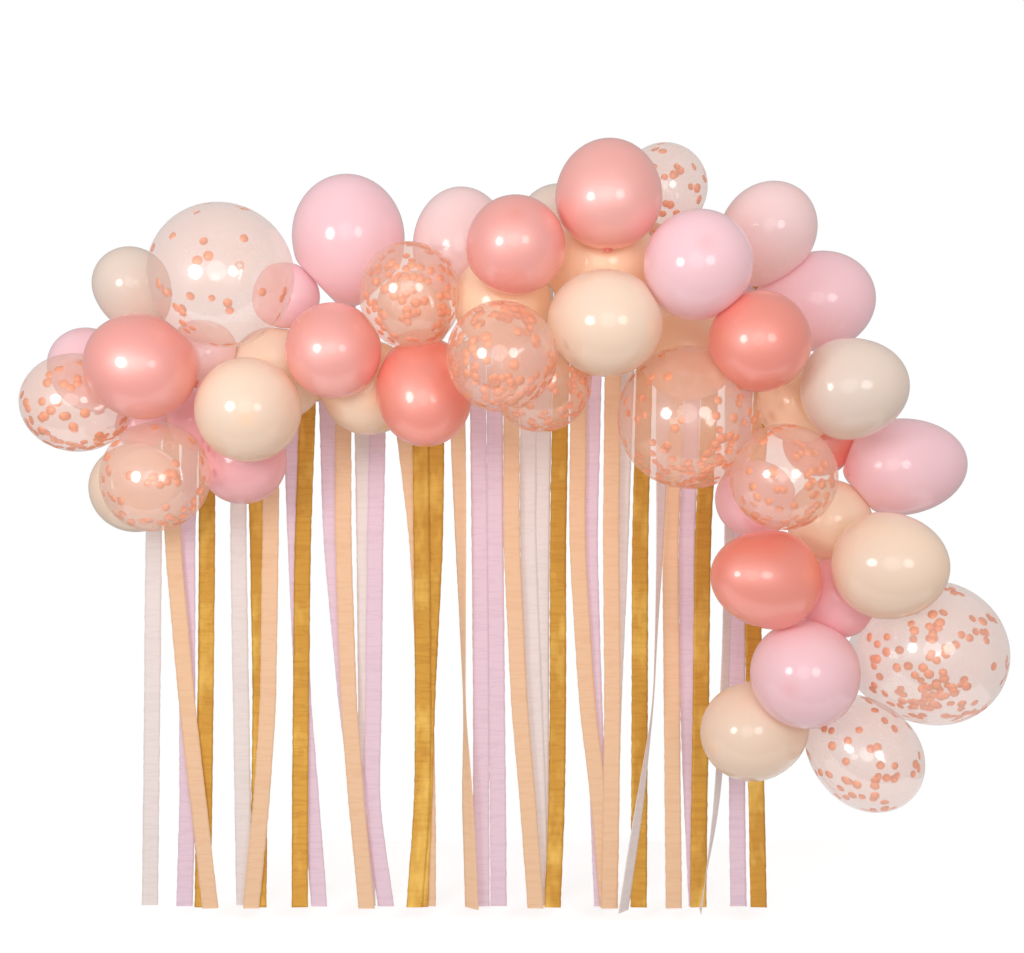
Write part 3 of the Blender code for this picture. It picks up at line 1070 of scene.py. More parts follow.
@dataclass(frozen=True)
class Contacts:
    """Planes that a balloon's skin stays behind, where it presses on its neighbours.

    Attributes:
        normals: Unit normals, one row each.
        distances: Distance of each plane from the balloon's centre.
        firmness: How suddenly the skin turns from round to flat.
    """

    normals: np.ndarray
    distances: np.ndarray
    firmness: float = 70.0

    def share(self, offsets: np.ndarray) -> np.ndarray:
        """How much of each offset from the centre is left.

        With t as an offset's reach past the centre towards a plane, over that plane's distance,
        the share is (1 + the sum of all positive t to the firmness) to the power of -1/firmness.
        It is 1 far from every plane and 1/t well beyond one, so the skin never crosses it.

        Args:
            offsets: Offsets from the centre, one row each.

        Returns:
            A share for each offset.
        """
        reach = np.maximum(offsets @ self.normals.T, 0.0) / self.distances
        return (1.0 + (reach**self.firmness).sum(axis=-1)) ** (-1.0 / self.firmness)

    def clear(self, offsets: np.ndarray) -> np.ndarray:
        """Whether each of some offsets from the centre, one a row, lies behind every plane."""
        return (offsets @ self.normals.T < self.distances).all(axis=-1)


@dataclass(frozen=True)
class Neck:
    """A balloon's neck, with its knot and rolled lip.

    Attributes:
        length: From the end of the tail to the lip.
        least: What is left of that where the neighbours squeeze it.
        radius: Radius where it leaves the tail.
        lip: Radius of the lip.
        shape: Outline as (share of the length, share of the lip's radius), from the tail round
            the lip and into the mouth.
    """

    length: float = 0.030
    least: float = 0.006
    radius: float = 0.009
    lip: float = 0.014
    shape: tuple[tuple[float, float], ...] = (
        (0.10, 0.52), (0.22, 0.50), (0.34, 0.76), (0.46, 0.84), (0.56, 0.70), (0.66, 0.44),
        (0.80, 0.58), (0.92, 0.90), (0.98, 1.00), (1.00, 0.92), (0.96, 0.80), (0.86, 0.50),
    )


@dataclass
class Skin:
    """The skin of one balloon in its place.

    Attributes:
        node: CAD node that it stands for.
        balloon: Its size and finish.
        centre: Middle of its widest ring.
        way: Unit vector to its crown.
        contacts: Where its neighbours stop it.
        neck: Its neck.
        tail: Longest tail, in radii.
        drop: Power by which the tail draws in like a drop.
        full: Share of the widest radius from which the skin is blown thin.
        tip: How much thicker the skin is at the crown's tip.
        tip_angle: Reach of the thicker tip round the crown, in radians.
        rings: Rings of the crown half and of the tail half, each.
        sides: Points in a ring.
    """

    node: str
    balloon: Balloon
    centre: np.ndarray
    way: np.ndarray
    contacts: Contacts
    neck: Neck = Neck()
    tail: float = 1.30
    drop: float = 1.6
    full: float = 0.50
    tip: float = 0.45
    tip_angle: float = 0.16
    rings: int = 26
    sides: int = 60

    def _room(self) -> float:
        """Length from the widest ring to the lip: the full one, or what the neighbours leave.

        With a as the angle between the neck and the normal of a plane ahead, the lip's edge is at
        the plane where the length is (the plane's distance less lip times sin a) over cos a.

        Returns:
            The length.
        """
        towards = self.contacts.normals @ -self.way
        ahead = towards > 0
        across = np.sqrt(np.maximum(0.0, 1.0 - towards[ahead] ** 2))
        limits = (self.contacts.distances[ahead] - self.neck.lip * across) / towards[ahead]
        return float(min([self.tail * self.balloon.radius + self.neck.length, *limits]))

    def _outline(self) -> tuple[np.ndarray, np.ndarray, np.ndarray]:
        """The skin's outline from the crown to the mouth.

        The crown half is half an ellipse. On the tail half the distance is the tail times the
        sine of an angle, and the radius joins the cosine's to the neck's as a sum of powers does,
        so that it draws in like a drop. The neck follows its own shape. Where the neighbours
        leave little room, the neck is squeezed first and then the tail. The skin is thinnest at
        the body, a bell curve thicker at the tip, and thick along the neck.

        Returns:
            Distances towards the crown, radii, and how far the latex is stretched there.
        """
        radius, power = self.balloon.radius, self.drop
        turn = np.linspace(0.0, math.pi / 2, self.rings + 1)[1:]
        end = self._room()
        tail = min(self.tail * radius, end - self.neck.least)
        drawn = (radius * np.cos(turn)) ** power + (self.neck.radius * np.sin(turn) ** 2) ** power
        shape = np.array(self.neck.shape)
        along = [self.balloon.crown * radius * np.cos(turn), -tail * np.sin(turn),
                 -tail - (end - tail) * shape[:, 0]]
        ring = [radius * np.sin(turn), drawn ** (1 / power), self.neck.lip * shape[:, 1]]
        crown = 1.0 - self.tip * np.exp(-((turn / self.tip_angle) ** 2))
        drawn_in = np.clip(ring[1] / (self.full * radius), 0.0, 1.0)
        stretch = [crown, drawn_in, np.zeros(len(shape))]
        return np.concatenate(along), np.concatenate(ring), np.concatenate(stretch)

    def surface(self) -> Surface:
        """Rings round the outline, pressed flat against the neighbours, with a pole at each end.

        Returns:
            The closed skin.
        """
        along, ring, stretch = self._outline()
        aside = unit(np.cross(self.way, ASKEW))
        up = np.cross(self.way, aside)
        turned = circle(self.sides)
        out = turned[:, :1] * aside + turned[:, 1:] * up
        body = along[:, None, None] * self.way + ring[:, None, None] * out
        poles = np.stack([self.balloon.crown * self.balloon.radius, along[-1]])[:, None] * self.way
        offsets = np.concatenate([body.reshape(-1, 3), poles])
        points = self.centre + offsets * self.contacts.share(offsets)[:, None]
        pole, last = len(along) * self.sides, (len(along) - 1) * self.sides
        caps = np.concatenate([fan(pole, 0, self.sides)[:, ::-1], fan(pole + 1, last, self.sides)])
        stretch = np.append(np.repeat(stretch, self.sides), [1.0 - self.tip, 0.0])
        # Painted shade and deeper tone: the whole skin goes towards the thick colour.
        stretch = stretch * (1 - self.balloon.deep_tone_and_painted_shade)
        return Surface(points, tube_quads(len(along), self.sides), caps, stretch).outwards()

    def build(self, finish: bpy.types.Material) -> Surface:
        """Make the skin and dress it. Clear latex casts no shadow.

        Args:
            finish: Its material.

        Returns:
            The surface, for what lies inside.
        """
        surface = self.surface()
        piece = surface.add_to_scene(f"{self.node}_skin", finish)
        piece.visible_shadow = self.balloon.latex is not BalloonLatex.CONFETTI
        dress(piece, self.balloon.latex.value.slot, self.node)
        return surface


@dataclass(frozen=True)
class Confetti:
    """Discs inside a clear balloon, clinging to its skin, most of them in loose drifts.

    Attributes:
        count: The most that there are, where so many find room.
        low: How strongly they gather low down: 0 for evenly.
        drifts: In how many places they gather.
        reach: Radius of such a place.
        stray: How thick they lie elsewhere, as a share.
        thin: Share of the greatest stretch from which they cling to the skin.
        spare: Places drawn for each disc, as some are too close to others.
        apart: Least distance of two discs.
        radius: Smallest and largest radius.
        thickness: Thickness of the tissue.
        inset: Nearest and farthest from the skin.
        lean: Largest tilt, as a slope.
        curl: Largest height of a disc's bend.
        sides: Corners of a disc.
    """

    count: int
    low: float = 1.2
    drifts: int = 7
    reach: float = 0.028
    stray: float = 0.22
    thin: float = 0.95
    spare: int = 3
    apart: float = 0.009
    radius: tuple[float, float] = (0.0090, 0.0124)
    thickness: float = 0.0004
    inset: tuple[float, float] = (0.0022, 0.0042)
    lean: float = 0.16
    curl: float = 0.0010
    sides: int = 14

    def _places(
        self, skin: Skin, surface: Surface, chance: np.random.Generator
    ) -> tuple[np.ndarray, np.ndarray]:
        """Where discs lie, and the skin's normals there.

        A face of the skin is drawn by its area times e to the power of minus low times its share
        of the balloon's height, so first the middles of the drifts are drawn. For the discs that
        is multiplied by the stray share plus a bell curve round each middle. Discs that would
        cross a contact plane, or lie too close to one before them, are dropped.

        Args:
            skin: The balloon's skin.
            surface: The skin's mesh.
            chance: Source of random numbers.

        Returns:
            Points and unit normals, one row each.
        """
        least = surface.stretch[surface.quads].min(axis=1)
        blown = surface.quads[least > self.thin * surface.stretch.max()]
        a, b, c, d = np.moveaxis(surface.points[blown], 1, 0)
        normal = np.cross(c - a, d - b)
        area = np.linalg.norm(normal, axis=1)
        middle = (a + b + c + d) / 4
        height = (middle[:, 2] - middle[:, 2].min()) / np.ptp(middle[:, 2])
        weight = area * np.exp(-self.low * height)
        drift = middle[chance.choice(len(blown), self.drifts, p=weight / weight.sum())]
        far = np.linalg.norm(middle[:, None] - drift, axis=-1) / self.reach
        weight *= self.stray + np.exp(-(far**2) / 2).sum(axis=1)
        places = self.count * self.spare
        drawn = chance.choice(len(blown), places, p=weight / weight.sum(), replace=False)
        normal = normal[drawn] / area[drawn, None]
        depth = chance.uniform(*self.inset, (len(drawn), 1))
        place = middle[drawn] - normal * depth
        wide = (place - skin.centre) * (1 + self.radius[1] / skin.balloon.radius)
        inside = skin.contacts.clear(wide)
        kept: list[int] = []
        for i in np.flatnonzero(inside):
            if len(kept) < self.count and all(
                np.linalg.norm(place[i] - place[j]) > self.apart for j in kept
            ):
                kept.append(int(i))
        return place[kept], normal[kept]

    def _faces(self, amount: int) -> tuple[np.ndarray, np.ndarray]:
        """Faces of discs whose points lie in two rounds with a middle each, front and back.

        Args:
            amount: Number of discs.

        Returns:
            The quads of the rims, and the triangles of the fronts and backs.
        """
        step = self.sides + 1
        side = np.arange(self.sides)
        after = (side + 1) % self.sides
        rim = np.stack([side + step, after + step, after, side], axis=-1)
        round_fan = fan(self.sides, 0, self.sides)
        faces = np.concatenate([round_fan, step + round_fan[:, ::-1]])
        starts = (np.arange(amount) * 2 * step)[:, None, None]
        return (rim + starts).reshape(-1, 4), (faces + starts).reshape(-1, 3)

    def build(self, skin: Skin, surface: Surface, finish: bpy.types.Material) -> None:
        """Make one mesh of all the discs in a balloon, each tilted and bent a little.

        A disc's height over its own plane is its curl times the square of its first coordinate
        on a unit disc, less a half.

        Args:
            skin: The balloon's skin.
            surface: The skin's mesh.
            finish: Material of the discs.
        """
        tenths = int(skin.balloon.width * 1e4)  # the balloon's width in tenths of a millimetre
        chance = np.random.default_rng(self.count * 1000 + tenths)
        place, normal = self._places(skin, surface, chance)
        amount = len(place)
        normal = unit(normal + chance.uniform(-self.lean, self.lean, (amount, 3)))
        first = unit(np.cross(normal, unit(chance.normal(size=(amount, 3)))))
        second = np.cross(normal, first)
        x, y = np.concatenate([circle(self.sides), [[0.0, 0.0]]]).T[..., None]
        size = chance.uniform(*self.radius, (amount, 1, 1))
        curl = chance.uniform(-self.curl, self.curl, (amount, 1, 1))
        disc = (
            place[:, None]
            + size * (x * first[:, None] + y * second[:, None])
            + curl * (x**2 - 0.5) * normal[:, None]
        )
        half = normal[:, None] * self.thickness / 2
        points = np.concatenate([disc + half, disc - half], axis=1)
        shape = Surface(points.reshape(-1, 3), *self._faces(amount)).outwards()
        dress(shape.add_to_scene(f"{skin.node}_discs", finish), CONFETTI_FINISH.slot)


def filled() -> list[Confetti]:
    """What the clear balloons hold, from the back layer to the front.

    Returns:
        One filling for each of them.
    """
    return [
        Confetti(46), Confetti(90), Confetti(150, low=0.6, drifts=14), Confetti(34, low=0.8),
        Confetti(66), Confetti(58, low=0.2), Confetti(66), Confetti(130, low=1.0, drifts=10),
        Confetti(165, low=0.6, drifts=12), Confetti(105, low=1.4, drifts=9), Confetti(90),
    ]


@dataclass
class BalloonCluster:
    """All the balloons, each pushed back till it rests on the strip or on another.

    Attributes:
        arch: The strip that they are tied to.
        balloons: The balloons from the back layer to the front.
        confetti: What each clear balloon holds, in the same order.
        back: Nearest that a skin comes to the strip's middle, along Y.
        spread: Share of two radii at which two balloons start to touch.
        nesting: Share of a full sphere's depth that a balloon stands off its neighbour.
        near: Share of two radii within which there is a plane between two balloons.
        gap: Least gap that each skin leaves to a contact plane.
    """

    arch: ArchLine
    balloons: list[Balloon]
    confetti: list[Confetti]
    back: float = -0.022
    spread: float = 0.95
    nesting: float = 0.77
    near: float = 1.6
    gap: float = 0.0002

    def _settled(self) -> np.ndarray:
        """Push each balloon back till it rests.

        A balloon's centre is its radius in front of the strip, or farther forward: in front of
        each earlier balloon that it overlaps from the front by the nesting times the depth at
        which two spheres of their spread sizes would meet.

        Returns:
            The centres, one row each.
        """
        centres = np.zeros((0, 3))
        radii = np.array([balloon.radius for balloon in self.balloons])
        for balloon, radius in zip(self.balloons, radii):
            others = centres[:, [0, 2]] - [balloon.x, balloon.z]
            apart = self.spread * (radius + radii[: len(centres)])
            room = apart**2 - (others**2).sum(axis=1)
            rests = centres[:, 1] - self.nesting * np.sqrt(np.maximum(room, 0.0))
            y = min([self.back - radius, *rests[room > 0]])
            centres = np.concatenate([centres, [[balloon.x, y, balloon.z]]])
        return centres

    def _contacts(self, index: int, centres: np.ndarray, radii: np.ndarray) -> Contacts:
        """Planes of one balloon: the strip's, and one between it and each near neighbour.

        The latter holds the circle in which the two spheres would cross.

        Args:
            index: Number of the balloon.
            centres: All centres.
            radii: All radii.

        Returns:
            Its planes.
        """
        between = np.delete(centres - centres[index], index, axis=0)
        other = np.delete(radii, index)
        apart = np.linalg.norm(between, axis=1)
        near = apart < self.near * (radii[index] + other)
        between, other, apart = between[near], other[near], apart[near]
        reach = (apart**2 + radii[index] ** 2 - other**2) / (2 * apart) - self.gap
        return Contacts(
            np.concatenate([[[0.0, 1.0, 0.0]], between / apart[:, None]]),
            np.concatenate([[self.back - centres[index, 1]], reach]),
        )

    def _way(self, balloon: Balloon, centre: np.ndarray) -> np.ndarray:
        """Where a crown points: as designed, or away from the nearest joint of the strip's line.

        Args:
            balloon: The balloon.
            centre: Its centre.

        Returns:
            A unit vector.
        """
        if balloon.way:
            return unit(np.array(balloon.way))
        line = self.arch.line()
        joints = np.stack(
            [line[:, 0], np.full(len(line), -self.arch.width / 2), line[:, 1]], axis=-1
        )
        offsets = centre - joints
        return unit(offsets[np.argmin(np.linalg.norm(offsets, axis=1))])

    def skins(self) -> list[Skin]:
        """The skins, named after their finish and numbered from the back layer to the front.

        Returns:
            One skin for each balloon.
        """
        names = numbered([balloon.latex for balloon in self.balloons], "balloon")
        centres = self._settled()
        radii = np.array([balloon.radius for balloon in self.balloons])
        rows = enumerate(zip(names, self.balloons, centres))
        return [
            Skin(name, balloon, centre, self._way(balloon, centre),
                 self._contacts(index, centres, radii))
            for index, (name, balloon, centre) in rows
        ]

    def build(self) -> None:
        """Make every skin, and the discs in the clear ones."""
        finishes = {latex: latex.value.material() for latex in BalloonLatex}
        discs = CONFETTI_FINISH.material()
        fillings = iter(self.confetti)
        for skin in self.skins():
            surface = skin.build(finishes[skin.balloon.latex])
            low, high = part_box(skin.node)
            stray = max(max(low - Vector(surface.points.min(axis=0))),
                        max(Vector(surface.points.max(axis=0)) - high))
            LOG.info("%s: %.1f mm outside its solid's box", skin.node, 1000 * stray)
            if skin.balloon.latex is BalloonLatex.CONFETTI:
                next(fillings).build(skin, surface, discs)


# Streamers

OVER_STRIP = 2  # number of the station at which a tail has come over the strip


@dataclass(frozen=True)
class Tail:
    """One hanging length of streamer, by its place at five heights.

    Attributes:
        x: Place at the strip, knee, middle, shin and foot.
        turn: Turn about the vertical at the last four, in degrees.
        y: Depth at the last four, or None for the lane's.
    """

    x: tuple[float, float, float, float, float]
    turn: tuple[float, float, float, float] = (0.0, 0.0, 0.0, 0.0)
    y: tuple[float, float, float, float] | None = None


class Lane(Enum):
    """Depths behind the strip at which streamers hang."""

    FRONT = 0.022
    PEACH = 0.027
    GOLD = 0.035
    LILAC = 0.043
    IVORY = 0.051


@dataclass(frozen=True)
class Streamer:
    """One length of crepe paper, looped over the strip several times.

    Attributes:
        paper: Its finish.
        lane: Where its tails leave the strip, just in front of the run that joins them.
        tails: Its tails.
    """

    paper: StreamerPaper
    lane: Lane
    tails: tuple[Tail, ...]


def hung() -> list[Streamer]:
    """The streamers from left to right, by colour.

    Returns:
        The layout, in metres from the crown of the strip.
    """
    return [
        Streamer(StreamerPaper.GOLD, Lane.GOLD, (
            Tail((-1.178, -1.178, -1.182, -1.186, -1.190)),
            Tail((-1.047, -1.039, -1.031, -1.035, -1.038)),
            Tail((-0.903, -0.917, -0.922, -0.924, -0.925)),
        )),
        Streamer(StreamerPaper.GOLD, Lane.GOLD, (
            Tail((-0.597, -0.592, -0.588, -0.590, -0.612)),
            Tail((-0.550, -0.556, -0.578, -0.586, -0.597), y=(0.038,) * 4),
        )),
        Streamer(StreamerPaper.GOLD, Lane.GOLD, (
            Tail((-0.2075, -0.220, -0.220, -0.223, -0.235)),
            Tail((0.025, 0.004, 0.003, 0.002, 0.0)),
            Tail((0.211, 0.175, 0.170, 0.166, 0.163)),
            Tail((0.3505, 0.311, 0.315, 0.322, 0.328)),
        )),
        Streamer(StreamerPaper.PEACH, Lane.PEACH, (
            Tail((-1.275, -1.270, -1.230, -1.199, -1.167)),
            Tail((-1.000, -1.003, -1.010, -1.028, -1.056)),
            Tail((-0.805, -0.805, -0.790, -0.769, -0.741)),
            Tail((-0.655, -0.603, -0.583, -0.576, -0.576), y=(0.043,) * 4),
            Tail((-0.497, -0.485, -0.475, -0.466, -0.455), turn=(-50, -80, -45, -35)),
            Tail((-0.347, -0.347, -0.326, -0.302, -0.281)),
            Tail((-0.161, -0.168, -0.141, -0.108, -0.083), y=(0.031,) * 4),
            Tail((-0.068, -0.076, -0.072, -0.075, -0.080)),
            Tail((0.118, 0.085, 0.090, 0.092, 0.095)),
        )),
        Streamer(StreamerPaper.LILAC, Lane.LILAC, (
            Tail((-1.225, -1.235, -1.234, -1.233, -1.242)),
            Tail((-0.950, -0.938, -0.917, -0.895, -0.873)),
            Tail((-0.852, -0.840, -0.799, -0.764, -0.742), y=(0.045,) * 4),
            Tail((-0.711, -0.720, -0.724, -0.731, -0.690)),
        )),
        Streamer(StreamerPaper.LILAC, Lane.LILAC, (
            Tail((-0.440, -0.434, -0.430, -0.430, -0.429)),
            Tail((-0.3935, -0.391, -0.387, -0.384, -0.382)),
            Tail((-0.1145, -0.134, -0.121, -0.110, -0.099)),
            Tail((0.1645, 0.132, 0.136, 0.147, 0.160)),
            Tail((0.304, 0.272, 0.270, 0.270, 0.274)),
        )),
        Streamer(StreamerPaper.IVORY, Lane.IVORY, (
            Tail((-1.330, -1.328, -1.333, -1.335, -1.339)),
            Tail((-1.096, -1.096, -1.089, -1.084, -1.080)),
            Tail((-0.757, -0.750, -0.745, -0.747, -0.742)),
        )),
        Streamer(StreamerPaper.IVORY, Lane.IVORY, (
            Tail((-0.3005, -0.302, -0.285, -0.274, -0.266), y=(0.048,) * 4),
            Tail((-0.254, -0.265, -0.266, -0.266, -0.266)),
            Tail((-0.0215, -0.048, -0.067, -0.075, -0.078)),
        )),
        Streamer(StreamerPaper.IVORY, Lane.FRONT, (
            Tail((0.0715, 0.054, 0.036, -0.002, -0.045), (60, 80, 55, 45), (0.0,) * 4),
            Tail((0.2575, 0.242, 0.227, 0.207, 0.163), (45, 50, 60, 85), (0.005, 0.0, 0.0, 0.0)),
        )),
    ]


@dataclass
class Ribbon:
    """A closed strip of paper along a path.

    Attributes:
        middle: Points of its middle line.
        across: Vectors from the middle to one edge, one for each point.
        thickness: Thickness of the paper, its ridges included.
        columns: Faces across the paper.
        ragged: Largest wander of an edge.
        curl: How far the middle stands off the line between the edges.
    """

    middle: np.ndarray
    across: np.ndarray
    thickness: float = 0.0008
    columns: int = 6
    ragged: float = 0.0007
    curl: float = 0.0

    def length(self) -> float:
        """Length of the middle line."""
        return float(distances(self.middle)[-1])

    def surface(self, chance: np.random.Generator) -> Surface:
        """Front and back rows of points at each station, joined round both edges and ends.

        Args:
            chance: Source of random numbers, for the edges.

        Returns:
            The closed strip.
        """
        count, columns = len(self.middle), self.columns
        along = distances(self.middle)
        way = unit(np.gradient(self.middle, along, axis=0))
        normal = unit(np.cross(way, self.across))
        share = np.linspace(-1.0, 1.0, columns + 1)
        wander = np.zeros((count, columns + 1))
        half = np.linalg.norm(self.across, axis=1)
        wander[:, [0, -1]] = chance.uniform(-1, 1, (count, 2)) * self.ragged / half[:, None]
        place = (
            self.middle[:, None]
            + (share + wander)[..., None] * self.across[:, None]
            + (self.curl * (1 - share**2))[None, :, None] * normal[:, None]
        )
        lift = normal[:, None] * self.thickness / 2
        points = np.concatenate([place + lift, (place - lift)[:, ::-1]], axis=1)
        sides = 2 * (columns + 1)
        quads = tube_quads(count, sides)
        column = np.arange(columns)
        cap = np.stack([column, column + 1, sides - 2 - column, sides - 1 - column], axis=-1)
        quads = np.concatenate([quads, cap, cap[:, ::-1] + (count - 1) * sides])
        wide = (share + 1) * half.mean()
        flat = np.stack(
            np.broadcast_arrays(np.concatenate([wide, wide[::-1]])[None], along[:, None]), axis=-1
        )
        return Surface(points.reshape(-1, 3), quads, flat=flat.reshape(-1, 2)).outwards()


@dataclass(frozen=True)
class Waver:
    """Two sine waves along a tail, which stand for how loosely it hangs.

    Attributes:
        size: Largest size of both together.
        rates: Radians of each wave per metre.
        share: Share of the first wave.
    """

    size: float
    rates: tuple[float, float]
    share: float

    def at(self, along: np.ndarray, phase: np.ndarray) -> np.ndarray:
        """Sum of the two waves at distances along the tail.

        Args:
            along: The distances.
            phase: Phase of each wave.

        Returns:
            One value for each distance.
        """
        first, second = (np.sin(along * rate + p) for rate, p in zip(self.rates, phase))
        return self.size * (first * self.share + second * (1 - self.share))


@dataclass(frozen=True)
class Drape:
    """How a tail of crepe paper hangs.

    Attributes:
        fold: Radius of a fold.
        bend: Radius of an easy bend, farther down.
        eased: Below the strip, where folds begin to give way to easy bends, and over what length.
        loose: Below the strip, where a tail begins to waver, and over what length that grows.
        sway: Its waver in depth.
        twist: Its waver about the vertical, in radians.
        bulge: Largest height of its middle over its edges.
        fine: Rows for each metre at which a route is worked out.
        every: Rows from one that is kept to the next, near the strip and farther down.
        close: How far below the strip the former holds.
    """

    fold: float = 0.004
    bend: float = 0.090
    eased: tuple[float, float] = (0.16, 0.12)
    loose: tuple[float, float] = (0.10, 0.5)
    sway: Waver = Waver(0.0014, rates=(9, 23), share=0.6)
    twist: Waver = Waver(math.radians(3.0), rates=(7, 17), share=0.7)
    bulge: float = 0.0005
    fine: int = 1000
    every: tuple[int, int] = (2, 12)
    close: float = 0.02

    def _averaged(self, rows: np.ndarray, radius: float) -> np.ndarray:
        """Each row averaged with those around it, with the ends carried on straight.

        Args:
            rows: The rows, at fine steps.
            radius: How far off the others may be.

        Returns:
            As many rows.
        """
        window = round(self.fine * radius)
        before = 2 * rows[0] - rows[window:0:-1]
        after = 2 * rows[-1] - rows[-2 : -window - 2 : -1]
        none = np.zeros((1, rows.shape[1]))
        sums = np.cumsum(np.concatenate([none, before, rows, after]), axis=0)
        span = 2 * window + 1
        return (sums[span:] - sums[:-span]) / span

    def hang(self, rough: np.ndarray, width: float, chance: np.random.Generator) -> Ribbon:
        """Paper along a rough route: folds rounded, bends eased, with a slight sway and twist.

        The route is read at fine steps. Close to the strip it is averaged over the radius of a
        fold, and farther down over that of an easy bend, with a smooth step (3 t squared less
        2 t cubed) between them.

        Args:
            rough: Rows of (x, y, z, turn in radians, rise from the middle to the right edge).
            width: Width of the paper.
            chance: Source of random numbers.

        Returns:
            The ribbon.
        """
        marks = distances(rough[:, :3])
        at = np.linspace(0.0, marks[-1], int(marks[-1] * self.fine))
        rows = np.stack([np.interp(at, marks, column) for column in rough.T], axis=-1)
        top = marks[OVER_STRIP]
        ease, grown = (
            np.clip((at - top - start) / length, 0.0, 1.0)
            for start, length in (self.eased, self.loose)
        )
        ease = (ease * ease * (3 - 2 * ease))[:, None]
        rows = self._averaged(rows, self.fold) * (1 - ease) + self._averaged(rows, self.bend) * ease
        phase = chance.uniform(0.0, math.tau, 4)
        rows[:, 1] += grown * self.sway.at(at, phase[:2])
        rows[:, 3] += grown * self.twist.at(at, phase[2:])
        kept = np.arange(len(at)) % np.where(at < top + self.close, *self.every) == 0
        kept[-1] = True
        x, y, z, turn, rise = rows[kept].T
        across = np.stack([width / 2 * np.cos(turn), width / 2 * np.sin(turn), rise], axis=-1)
        curl = float(chance.uniform(-1, 1)) * self.bulge
        return Ribbon(np.stack([x, y, z], axis=-1), across, curl=curl)


@dataclass
class StreamerCurtain:
    """The streamers behind the strip.

    Attributes:
        arch: The strip that they hang over.
        streamers: The streamers.
        width: Width of the paper.
        drop: A run's upper edge below the top of the strip.
        flap: What is folded down in front of the strip.
        flap_y: Depth of that flap.
        clearance: Gap between a fold and the strip, with half the paper's thickness.
        levels: Heights of the knee, middle, shin and foot.
        reached: Below the run, how soon a tail has changed its depth, where it does.
        drape: How the paper hangs.
        run_pitch: Distance of two stations of a run.
        run_behind: Distance of a run behind its tails' lane.
        run_thickness: Thickness of a run.
        seed: Seed of the first streamer's random numbers.
    """

    arch: ArchLine
    streamers: list[Streamer]
    width: float = 0.0445
    drop: float = 0.005
    flap: float = 0.024
    flap_y: float = -0.0203
    clearance: float = 0.0015
    levels: tuple[float, float, float, float] = (-0.86, -1.30, -1.57, -1.855)
    reached: float = 0.09
    drape: Drape = Drape()
    run_pitch: float = 0.012
    run_behind: float = 0.0013
    run_thickness: float = 0.0006
    seed: int = 700

    def _fold(self, x: float) -> tuple[float, float]:
        """Heights of a fold over the strip at a tail's two edges.

        Args:
            x: Middle of the tail at the strip.

        Returns:
            The left and the right height, just clear of the strip between them.
        """
        left, right = x - self.width / 2, x + self.width / 2
        low, high = self.arch.top(left), self.arch.top(right)
        joints = [left, *(p for p in self.arch.line()[:, 0] if left < p < right)]
        lift = max(
            self.arch.top(at) - (low + (high - low) * (at - left) / self.width) for at in joints
        )
        return low + lift + self.clearance, high + lift + self.clearance

    def _stations(self, tail: Tail, lane: float) -> np.ndarray:
        """A tail's rough route, from its flap to its foot.

        Args:
            tail: The tail.
            lane: Depth at which it leaves the strip.

        Returns:
            Rows of (x, y, z, turn in radians, rise from the middle to the right edge).
        """
        low, high = self._fold(tail.x[0])
        x, top, rise = tail.x[0], (low + high) / 2, (high - low) / 2
        start = min(low, high) - self.width - self.drop
        depths = tail.y or (lane,) * 4
        rows = [
            (x, self.flap_y, top - self.flap, 0.0, rise), (x, self.flap_y, top, 0.0, rise),
            (x, lane, top, 0.0, rise), (x, lane, start, 0.0, 0.0),
        ]
        if depths[0] != lane:
            share = self.reached / (start - self.levels[0])
            slant = (tail.x[1] - x) * share
            rows.append((x + slant, depths[0], start - self.reached, 0.0, 0.0))
        for at, depth, level, turn in zip(tail.x[1:], depths, self.levels, tail.turn):
            rows.append((at, depth, level, math.radians(turn), 0.0))
        return np.array(rows)

    def _run(self, streamer: Streamer) -> Ribbon:
        """The run behind the strip, from the first tail's middle half to the last one's.

        Args:
            streamer: The streamer.

        Returns:
            The ribbon, just behind its tails.
        """
        start = streamer.tails[0].x[0] - self.width / 4
        end = streamer.tails[-1].x[0] + self.width / 4
        x = np.linspace(start, end, round((end - start) / self.run_pitch) + 1)
        top = np.array([self.arch.top(place) for place in x]) - self.drop
        y = np.full(len(x), streamer.lane.value + self.run_behind)
        middle = np.stack([x, y, top - self.width / 2], axis=-1)
        across = np.broadcast_to([0.0, 0.0, self.width / 2], middle.shape)
        return Ribbon(middle, across, thickness=self.run_thickness)

    def build(self) -> None:
        """Make each streamer as one sheet of paper, hung from the strip."""
        finishes = {paper: paper.value.material() for paper in StreamerPaper}
        nodes = numbered([streamer.paper for streamer in self.streamers], "streamer")
        for number, (node, streamer) in enumerate(zip(nodes, self.streamers)):
            chance = np.random.default_rng(self.seed + number)
            routes = [self._stations(tail, streamer.lane.value) for tail in streamer.tails]
            ribbons = [self.drape.hang(rough, self.width, chance) for rough in routes]
            ribbons.append(self._run(streamer))
            shape = Surface.together([ribbon.surface(chance) for ribbon in ribbons])
            piece = shape.add_to_scene(f"{node}_paper", finishes[streamer.paper])
            dress(piece, streamer.paper.value.slot, node)
            length = sum(ribbon.length() for ribbon in ribbons)
            LOG.info("%s: %.1f mm by %.2f m flat", node, 1000 * self.width, length)


# Studio


